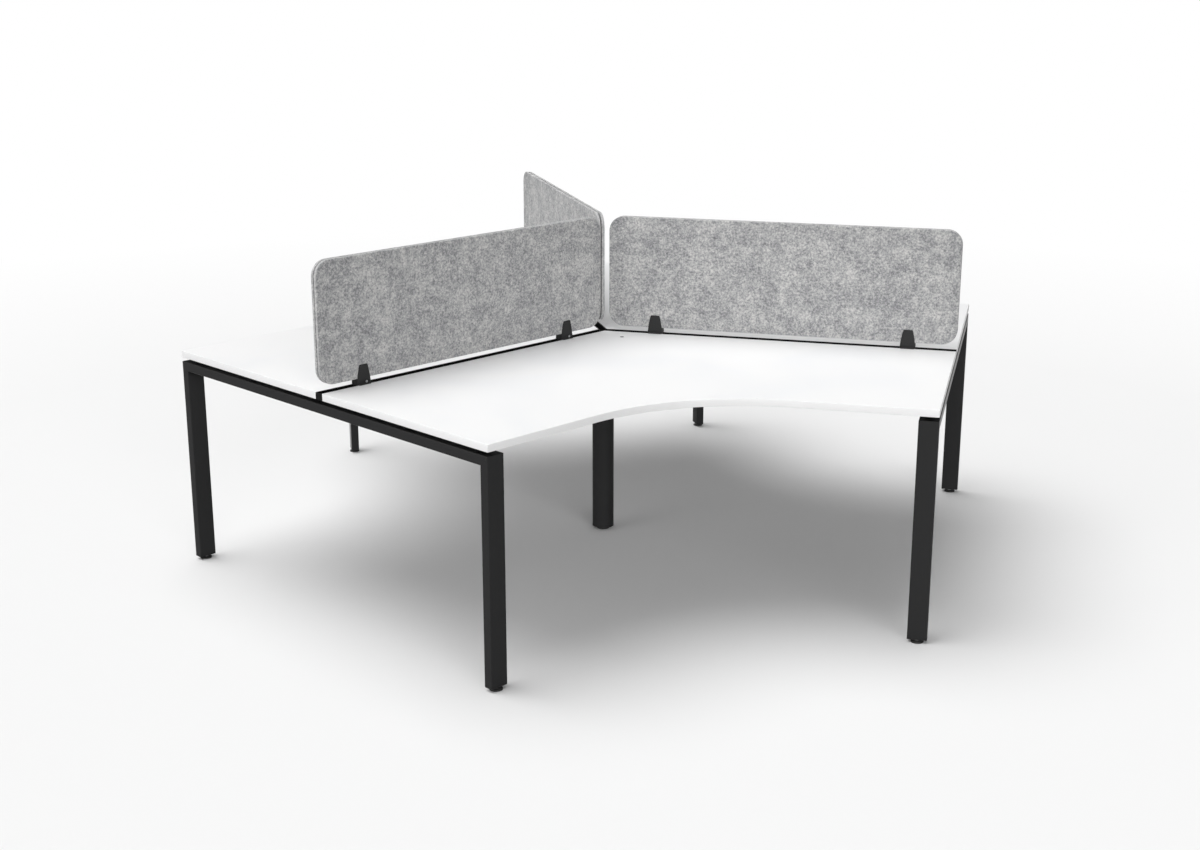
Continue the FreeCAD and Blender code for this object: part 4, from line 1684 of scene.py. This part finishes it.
@dataclass
class Clamps:
    """The six screen clamps: a body with the fixed cheek, a moving cheek and its screw."""

    under: float = DESK_HEIGHT + SEAT
    head: float = DESK_HEIGHT + 63.0
    face: float = FELT_THICK + SEAT
    thick: float = 2.7
    heel: float = 0.8
    heel_tall: float = 12.0
    heel_fade: float = 4.0
    toe: float = 6.0
    toe_tall: float = 3.6
    foot_half: float = 25.0
    top_half: float = 15.0
    shoulder: float = 22.0
    shoulder_in: float = 1.5
    taper_straight_share: float = 0.55
    taper_power: float = 1.6
    corner: float = 3.0
    foot_round: float = 3.6
    round_steps: int = 6
    rows: int = 30
    ease: float = 0.8
    ease_steps: int = 3
    least_skin: float = 0.2
    border: float = 4.5
    border_drop: float = 0.5
    border_half_slope: float = 0.5
    border_ease: float = 0.08
    block_half_long: float = 23.0
    block_half_wide: float = 12.05
    block_heights: Range = (TOP_UNDER + 1.5, SCREEN_LOW - SEAT)
    block_corner: float = 1.2
    block_steps: int = 4
    block_ease: float = 0.8
    root_in: float = 1.0
    root_clear: float = 0.6
    root_corner: float = 1.0
    root_steps: int = 3
    root_ease: float = 0.1
    tongue_side: float = 9.0
    tongue_rise: float = 9.0
    tongue_half: Point = (8.0, 3.0)
    tongue_long: float = 12.0
    tongue_corner: float = 0.5
    tongue_steps: int = 2
    tongue_ease: float = 0.3
    screw_side: float = -9.0
    screw_height: float = DESK_HEIGHT + 8.0
    screw_face: float = 15.7
    screw_long: float = 20.0
    screw_half: float = 2.0
    screw_point: float = 0.6
    screw_head_half: float = 4.0
    screw_head_thick: float = 2.2
    screw_ease: float = 0.1
    screw_tip: float = 0.02
    screw_sides: int = 36
    socket: float = 2.6
    socket_deep: float = 1.4
    bore_long: float = 4.0
    bore_half: float = 2.2
    bore_seat: float = 2.3
    bore_head_half: float = 4.15
    bore_mouth_half: float = 4.9
    bore_mouth: float = 0.25
    overrun: float = 0.5

    @staticmethod
    def rounding(radius: float, into: float) -> float:
        """How far a rounded corner stands back at a distance into it."""
        return radius - math.sqrt(max(radius ** 2 - (radius - into) ** 2, 0.0)) if into < radius else 0.0

    def half_wide(self, height: float) -> float:
        """Gives half the width of a cheek, with its rounded corners.

        Args:
            height: height of the place.

        Returns:
            Half the width there.
        """
        rise = height - self.under
        neck = self.foot_half - self.shoulder_in
        if rise < self.shoulder:
            half = self.foot_half - self.shoulder_in * (rise / self.shoulder) ** 2
        else:
            share = (rise - self.shoulder) / (self.head - self.under - self.shoulder)
            straight = self.taper_straight_share
            taper = straight * share + (1 - straight) * share ** self.taper_power
            half = neck + (self.top_half - neck) * taper
        return half - self.rounding(self.foot_round, rise) - self.rounding(self.corner, self.head - height)

    def skin_at(self, height: float) -> float:
        """Gives the outer face of a cheek: flared at the foot, thick at the heel, rounded at the top.

        Args:
            height: height of the place.

        Returns:
            Distance of the face from the middle of the arm.
        """
        over = min(max((height - self.under - self.heel_tall) / self.heel_fade, 0.0), 1.0)
        smooth = over * over * (3 - 2 * over)
        below = self.head - height
        skin = self.face + self.thick + self.heel * (1.0 - smooth)
        skin += self.toe * max(1.0 - (height - self.under) / self.toe_tall, 0.0) ** 2
        return skin - self.border_drop * max(1.0 - below / self.border, 0.0) - self.rounding(self.ease, below)

    def cheek_heights(self) -> list[float]:
        """Gives the heights of a cheek's rings, close together where its corners are round.

        Returns:
            Heights from its foot to its head.
        """
        rise = [1 - math.cos(math.pi / 2 * step / self.round_steps) for step in range(self.round_steps + 1)]
        low = [self.under + self.foot_round * share for share in rise[:-1]]
        high = [self.head - self.corner * share for share in reversed(rise)]
        start = self.under + self.foot_round
        return low + [start + (high[0] - start) * step / self.rows for step in range(self.rows)] + high

    def cheek(self, shell: Shell, place: Place, middle: float, sense: float) -> None:
        """Adds one cheek, skinned upwards from its foot.

        Args:
            shell: skin that it is added to.
            place: placing function of its arm.
            middle: reach of the clamp.
            sense: +1 for the moving cheek's side, -1 for the fixed one's.
        """
        rings = []
        for height in self.cheek_heights():
            half = self.half_wide(height)
            skin = self.skin_at(height)
            edge = skin - self.border_drop
            inner = half - self.border
            ease = min(self.ease, edge - self.face - self.least_skin)
            right = [(half - inset, depth) for inset, depth in rim_rows(ease, edge, -1.0, self.ease_steps)]
            right += [(inner + self.border_half_slope, skin - self.border_ease),
                      (inner - self.border_half_slope, skin)]
            left = [(-x, y) for x, y in reversed(right)]
            spots = [(-half, self.face), (half, self.face)] + right + left
            rings.append([place(middle + x, sense * y, height) for x, y in spots])
        shell.loft(rings)

    def build_body(self, arm: Arm, spot: ClampSpot) -> Piece:
        """Makes one clamp body: its block in the channel, the fixed cheek and the root between them.

        Args:
            arm: arm that the clamp stands on.
            spot: which of its clamps.

        Returns:
            The body.
        """
        place = arm.place
        long, wide = self.block_half_long, self.block_half_wide
        block = box_outline((spot.value - long, -wide), (spot.value + long, wide),
                            self.block_corner, self.block_steps)
        shell = Shell()
        slab(shell, block, self.block_heights, self.block_ease,
             lambda point, height: place(point[0], point[1], height))
        self.cheek(shell, place, spot.value, -1.0)
        root = box_outline((spot.value - long + self.root_in, self.under + self.root_clear),
                           (spot.value + long - self.root_in, self.block_heights[1] - self.root_clear),
                           self.root_corner, self.root_steps)
        slab(shell, root, (-self.face - self.root_in, -wide + self.root_in), self.root_ease,
             lambda point, side: place(point[0], side, point[1]))
        return shell.piece("clamp_body_" + arm.label + "_" + spot.name.lower())

    def build_bore(self, spindle: Spindle) -> Piece:
        """Makes the cutting shape of the stepped hole that takes the screw.

        Args:
            spindle: axis of the screw, outwards from the middle of the arm.

        Returns:
            The shape, to be carved out.
        """
        back = self.face - self.bore_long
        seat = self.screw_face - self.bore_seat
        outer = self.face + self.thick + self.heel
        profile = [(0.0, back), (self.bore_half, back), (self.bore_half, seat), (self.bore_head_half, seat),
                   (self.bore_head_half, outer - self.bore_mouth),
                   (self.bore_mouth_half, outer + self.overrun), (0.0, outer + self.overrun)]
        shell = Shell()
        turned(shell, spindle, profile, self.screw_sides)
        return shell.piece("bore")

    def build_jaw(self, arm: Arm, spot: ClampSpot) -> Piece:
        """Makes one moving cheek with its tongue, bored for the head of its screw.

        Args:
            arm: arm that the clamp stands on.
            spot: which of its clamps.

        Returns:
            The cheek.
        """
        place = arm.place
        shell = Shell()
        self.cheek(shell, place, spot.value, 1.0)
        jaw = shell.piece("jaw_" + arm.label + "_" + spot.name.lower())
        reach = spot.value + self.screw_side
        carve(jaw, self.build_bore(Spindle(place, reach, 0.0, self.screw_height, (0.0, 1.0, 0.0))))
        middle = (spot.value + self.tongue_side, DESK_HEIGHT + self.tongue_rise)
        wide, tall = self.tongue_half
        tongue = box_outline((middle[0] - wide, middle[1] - tall), (middle[0] + wide, middle[1] + tall),
                             self.tongue_corner, self.tongue_steps)
        rib = Shell()
        slab(rib, tongue, (self.face - self.tongue_long, self.face + self.overrun), self.tongue_ease,
             lambda point, side: place(point[0], side, point[1]))
        join(jaw, rib.piece("tongue"))
        return jaw

    def build_screw(self, arm: Arm, spot: ClampSpot) -> Piece:
        """Makes one clamp screw with a hexagon socket and a turned rim.

        Args:
            arm: arm that the clamp stands on.
            spot: which of its clamps.

        Returns:
            The screw.
        """
        reach = spot.value + self.screw_side
        spindle = Spindle(arm.place, reach, self.screw_face, self.screw_height, (0.0, -1.0, 0.0))
        half, head, thick = self.screw_half, self.screw_head_half, self.screw_head_thick
        long, point, ease = self.screw_long, self.screw_point, self.screw_ease
        profile = ((self.screw_tip, long), (half - point, long), (half, long - point), (half, thick),
                   (head - ease, thick), (head, thick - ease), (head, 3 * ease), (head - ease, ease),
                   (head - 3 * ease, 0.0))
        shell = Shell()
        SocketHead(profile, self.socket, self.socket_deep, self.screw_sides).add(shell, spindle)
        return shell.piece("screw_" + arm.label + "_" + spot.name.lower())

    def build(self) -> None:
        """Makes and dresses every clamp."""
        for arm in Arm:
            for spot in ClampSpot:
                name = arm.label + "_" + spot.name.lower()
                install(self.build_body(arm, spot), "frame", CLAMP_COAT, "clamp_coat", "clamp_bodies")
                install(self.build_jaw(arm, spot), "jaw_" + name, CLAMP_COAT, "clamp_coat",
                        "clamp_jaw_" + name)
                install(self.build_screw(arm, spot), "clamp_screw_" + name, ZINC, "plated_steel",
                        "clamp_screw_" + name)


@dataclass
class Feet:
    """The seven levelling feet: pads and threaded stems. The CAD plugs stay."""

    side: float = FRAME_HALF - TUBE_THIN / 2
    pad: float = 19.5
    centre_pad: float = 22.0
    pad_sides: int = 72
    sole: tuple[Point, ...] = ((-3.0, 0.0), (-2.8, 0.35), (-2.0, 0.35), (-1.8, 0.0), (-0.8, 0.0),
                               (-0.25, 0.22), (0.0, 0.8))
    rim: float = 4.0
    rim_round: float = 1.0
    rim_cut: float = 0.3
    tall: float = 6.0
    hub: float = 12.0
    hub_ease: float = 0.4
    slope_steps: int = 8
    sag: float = 0.35
    neck: float = 5.2
    neck_ease: float = 0.3
    floor: float = 1.6
    stem: float = 5.0
    stem_sides: int = 24
    stem_clear: float = 0.1
    stem_ease: float = 0.4
    stem_top: float = 56.0
    stem_point: Point = (0.8, 1.0)
    stem_tip: float = 0.02
    nut: float = 7.5
    nut_heights: Range = (6.1, 10.9)
    nut_ease: float = 0.7
    nut_clip_share: float = 1.02
    root: float = 4.05
    pitch: float = 1.5
    pitch_steps: int = 6
    thread_heights: Range = (10.9, 31.0)
    thread_end: float = 0.5
    flank: float = 4.0
    crest: float = 1.6
    crease: float = 50.0

    def spots(self) -> list[tuple[str, Spindle, float]]:
        """Lists the feet.

        Returns:
            Name, axis and pad radius of every foot.
        """
        found = [("centre", Spindle(about_centre(0.0), 0.0, 0.0, 0.0), self.centre_pad)]
        for arm in Arm:
            for sense, end in arm.sides:
                found.append((arm.label + "_" + end, Spindle(arm.place, RAIL_MIDDLE, sense * self.side, 0.0),
                              self.pad))
        return found

    def build_pad(self, name: str, spindle: Spindle, radius: float) -> Piece:
        """Makes one pad: sole groove, rounded rim, dished slope and raised hub.

        Args:
            name: name of the foot.
            spindle: its axis.
            radius: radius of the pad.

        Returns:
            The pad.
        """
        profile = [(0.0, 0.0)] + [(radius + off, height) for off, height in self.sole]
        profile += [(radius, self.rim - self.rim_round), (radius - self.rim_cut, self.rim - self.rim_cut)]
        edge = radius - self.rim_round
        shoulder = self.tall - self.hub_ease
        for step in range(self.slope_steps):
            share = step / self.slope_steps
            sag = self.sag * math.sin(math.pi * share)
            profile.append((edge + (self.hub - edge) * share, self.rim + (shoulder - self.rim) * share - sag))
        profile += [(self.hub, shoulder), (self.hub - self.hub_ease, self.tall),
                    (self.neck + self.neck_ease, self.tall), (self.neck, self.tall - self.neck_ease),
                    (self.neck, self.floor), (0.0, self.floor)]
        shell = Shell()
        turned(shell, spindle, profile, self.pad_sides)
        return shell.piece("pad_" + name)

    def build_stem(self, name: str, spindle: Spindle) -> Piece:
        """Makes one stem: plain foot, spanner hexagon and a real helical thread.

        Args:
            name: name of the foot.
            spindle: its axis.

        Returns:
            The stem.
        """
        count = self.stem_sides
        foot = self.floor + self.stem_clear
        low, high = self.nut_heights
        clip = self.nut * self.nut_clip_share
        plain = ((self.stem_tip, foot), (self.stem - self.stem_ease, foot),
                 (self.stem, foot + self.stem_ease), (self.stem, low))
        rings = [spindle.ring(radius, height, count=count) for radius, height in plain]
        for height, limit in ((low, clip), (low + self.nut_ease, math.inf), (high - self.nut_ease, math.inf),
                              (high, clip)):
            rings.append(spindle.ring(self.nut, height, Section.HEXAGON, count, limit))
        start, stop = self.thread_heights
        step = self.pitch / self.pitch_steps
        rows = int((stop - start) / step)
        for row in range(rows + 1):
            run_in = min(row, rows - row) / self.pitch_steps
            rings.append(self.thread_ring(spindle, start + row * step, run_in))
        ends = ((self.root, stop + self.thread_end), (self.root, self.stem_top - self.stem_point[1]),
                (self.root - self.stem_point[0], self.stem_top))
        rings += [spindle.ring(radius, height, count=count) for radius, height in ends]
        shell = Shell()
        shell.loft(rings)
        return shell.piece("stem_" + name, self.crease)

    def thread_ring(self, spindle: Spindle, height: float, run_in: float) -> list[Vector]:
        """Gives one ring of the thread.

        Args:
            spindle: axis of the stem.
            height: height of the ring.
            run_in: grows from 0 at the ends of the thread, where it is shallow.

        Returns:
            The ring's points.
        """
        middle = spindle.place(spindle.reach, spindle.side, height)
        depth = (self.stem - self.root) * min(run_in, 1.0)
        points = []
        for step, point in enumerate(spindle.ring(1.0, height, count=self.stem_sides)):
            phase = (height / self.pitch - step / self.stem_sides) % 1.0
            crest = min(max(self.crest - abs(phase - 0.5) * self.flank, 0.0), 1.0)
            points.append(middle + (point - middle) * (self.root + depth * crest))
        return points

    def build(self) -> None:
        """Makes and dresses every foot."""
        for name, spindle, radius in self.spots():
            pad = self.build_pad(name, spindle, radius)
            install(pad, "pad_" + name, PLASTIC, "black_plastic", "foot_pad_" + name)
            install(self.build_stem(name, spindle), "stem_" + name, ZINC, "plated_steel", "foot_stem_" + name)
        dress_nodes(["foot_plugs"], PLASTIC)


@dataclass
class Fasteners:
    """Screw heads and bolts under the tops, which the CAD leaves out."""

    top_shares: tuple[float, ...] = (0.08, 0.50, 0.92)
    crossbar_shares: tuple[float, ...] = (0.36, 0.70)
    crown_sides: tuple[float, ...] = (105.0, 378.0)
    flange: Point = (25.0, 8.0)
    pan: Turning = ((2.5, 3.4), (5.0, 3.2), (5.0, 2.2), (4.7, 1.2), (4.0, 0.4), (3.0, 0.0))
    pan_tall: float = 3.2
    pan_socket: Point = (3.0, 1.6)
    small_share: float = 0.8
    small_tall: float = 2.5
    head_reaches: tuple[float, ...] = (60.0, 105.0)
    plate_side: float = 48.0
    bolt: Turning = ((4.0, 5.0), (6.3, 4.9), (6.5, 4.7), (6.5, 3.0), (6.0, 1.4), (5.0, 0.4), (4.2, 0.0))
    bolt_tall: float = 6.3
    bolt_socket: Point = (5.0, 2.5)
    washer: Turning = ((4.0, 4.7), (8.2, 4.7), (8.4, 4.9), (8.4, 6.2), (8.2, 6.3), (4.0, 6.3))
    washer_sides: int = 36

    def pan_head(self, size: float = 1.0) -> SocketHead:
        """Pan head with a hexagon socket, at a share of its full size."""
        return SocketHead(tuple((radius * size, along * size) for radius, along in self.pan),
                          self.pan_socket[0] * size, self.pan_socket[1] * size)

    def build_top_screws(self, arm: Arm) -> Piece:
        """Makes the heads of the long screws that hold the tops on a rail.

        Args:
            arm: arm that the rail ends.

        Returns:
            The heads.
        """
        shell = Shell()
        for sense in (-1.0, 1.0):
            for share in self.top_shares:
                side = sense * (HALF_GAP + share * TOP_DEPTH)
                spindle = Spindle(arm.place, RAIL_MIDDLE, side, RAIL_UNDER - self.pan_tall)
                self.pan_head().add(shell, spindle)
        return shell.piece("top_screws_" + arm.label)

    def build_crossbar_screws(self, arm: Arm) -> Piece:
        """Makes the heads of the screws inside and beside the crossbars.

        Args:
            arm: arm that the crossbars lie on.

        Returns:
            The heads.
        """
        place = arm.place
        crown = TOP_UNDER - SHEET - self.small_tall
        flange = FRAME_TOP + SHEET + self.small_tall
        along, off = self.flange
        shell = Shell()
        for share in self.crossbar_shares:
            reach = ARM_END * share
            for sense in (-1.0, 1.0):
                spindles = [Spindle(place, reach, sense * side, crown) for side in self.crown_sides]
                spindles.append(Spindle(place, reach + sense * along, sense * off, flange, (0.0, 0.0, -1.0)))
                for spindle in spindles:
                    self.pan_head(self.small_share).add(shell, spindle)
        return shell.piece("crossbar_screws_" + arm.label)

    def build_bolts(self, arm: Arm) -> Piece:
        """Makes the bolts of the head plate and of a beam's end plate, each on a washer.

        Args:
            arm: arm of the beam.

        Returns:
            The bolts.
        """
        place = arm.place
        axis = FRAME_TOP - TUBE_THIN / 2
        spindles = [Spindle(place, reach, 0.0, HEAD_UNDER - self.bolt_tall) for reach in self.head_reaches]
        spindles += [Spindle(place, PLATE_FACE - self.bolt_tall, sense * self.plate_side, axis,
                             (1.0, 0.0, 0.0)) for sense in (-1.0, 1.0)]
        shell = Shell()
        for spindle in spindles:
            SocketHead(self.bolt, *self.bolt_socket).add(shell, spindle)
            turned(shell, spindle, self.washer, self.washer_sides)
        return shell.piece("frame_bolts_" + arm.label)

    def build(self) -> None:
        """Makes and dresses every fastener."""
        for arm in Arm:
            install(self.build_top_screws(arm), "frame", ZINC, "plated_steel")
            install(self.build_crossbar_screws(arm), "frame", ZINC, "plated_steel")
            install(self.build_bolts(arm), "frame", ZINC, "plated_steel")


# Studio


@dataclass(frozen=True)
class Lamp:
    """Soft far lamp: the direction it stands in and its rise, both in degrees, its strength and softness."""

    azimuth: float
    rise: float
    strength: float
    soft: float

    def hang(self, name: str) -> None:
        """Adds the lamp to the scene.

        Args:
            name: its name.
        """
        data = bpy.data.lights.new(name, "SUN")
        data.energy = self.strength
        data.angle = math.radians(self.soft)
        made = bpy.data.objects.new(name, data)
        turn, rise = math.radians(self.azimuth), math.radians(self.rise)
        away = Vector((math.cos(turn) * math.cos(rise), math.sin(turn) * math.cos(rise), math.sin(rise)))
        made.rotation_euler = away.to_track_quat("Z", "Y").to_euler()
        bpy.context.scene.collection.objects.link(made)


@dataclass
class Studio:
    """Camera, floor, backdrop and soft lamps, in metres and degrees."""

    place: Triple = (-1.4927, -5.5204, 2.0332)
    tilt: float = 73.91
    pan: float = -15.02
    lens: float = 50.44
    sensor: float = 36.0
    sight: float = 300.0
    floor_half: float = 70.0
    sky: float = 0.216
    lamps: tuple[Lamp, ...] = (
        Lamp(140.0, 73.0, 1.97, 57.0),
        Lamp(180.0, 60.0, 0.6, 60.0),
        Lamp(272.0, 10.0, 1.6, 40.0),
        Lamp(200.0, 8.0, 0.92, 40.0),
    )

    def set_camera(self) -> None:
        """Puts the camera where the photograph was taken from."""
        data = bpy.data.cameras.new("camera")
        data.lens = self.lens
        data.sensor_width = self.sensor
        data.sensor_fit = "HORIZONTAL"
        data.clip_end = self.sight
        made = bpy.data.objects.new("camera", data)
        made.location = self.place
        made.rotation_euler = (math.radians(self.tilt), 0.0, math.radians(self.pan))
        bpy.context.scene.collection.objects.link(made)
        bpy.context.scene.camera = made

    def set_floor(self) -> None:
        """Lays the studio floor."""
        half = self.floor_half
        corners = ((-half, -half), (half, -half), (half, half), (-half, half))
        shell = Shell()
        shell.faces.append(tuple(shell.ring(Vector((x, y, 0.0)) for x, y in corners)))
        floor = shell.piece("studio_floor")
        dress(floor, StudioFloor())

    def set_backdrop(self) -> None:
        """Lights the room evenly and shows white behind the pod."""
        world = bpy.data.worlds.new("studio")
        bpy.context.scene.world = world
        world.use_nodes = True
        world.node_tree.nodes.clear()
        graph = Graph(world.node_tree)
        path = graph.add("LightPath")
        room = graph.add("Background", None, Color=grey(1.0), Strength=self.sky)
        white = graph.add("Background", None, Color=grey(1.0), Strength=1.0)
        straight = graph.math("MAXIMUM", path.outputs["Is Camera Ray"], path.outputs["Is Transmission Ray"])
        mixed = graph.mix_shaders(straight, room.outputs[0], white.outputs[0])
        graph.put(graph.add("OutputWorld"), "Surface", mixed)

    def build(self) -> None:
        """Sets up the whole studio."""
        bpy.context.scene.view_settings.view_transform = "Standard"
        self.set_camera()
        self.set_floor()
        for number, lamp in enumerate(self.lamps):
            lamp.hang("lamp_%d" % number)
        self.set_backdrop()


def main() -> None:
    """Builds the studio and every sub-assembly in order."""
    logging.basicConfig(level=logging.INFO, format="%(message)s")
    for part in (Studio(), Worktops(), EndFrames(), CentreSpine(), Screens(), Clamps(), Feet(), Fasteners()):
        LOG.info("building %s", type(part).__name__)
        part.build()


if __name__ == "__main__":
    main()
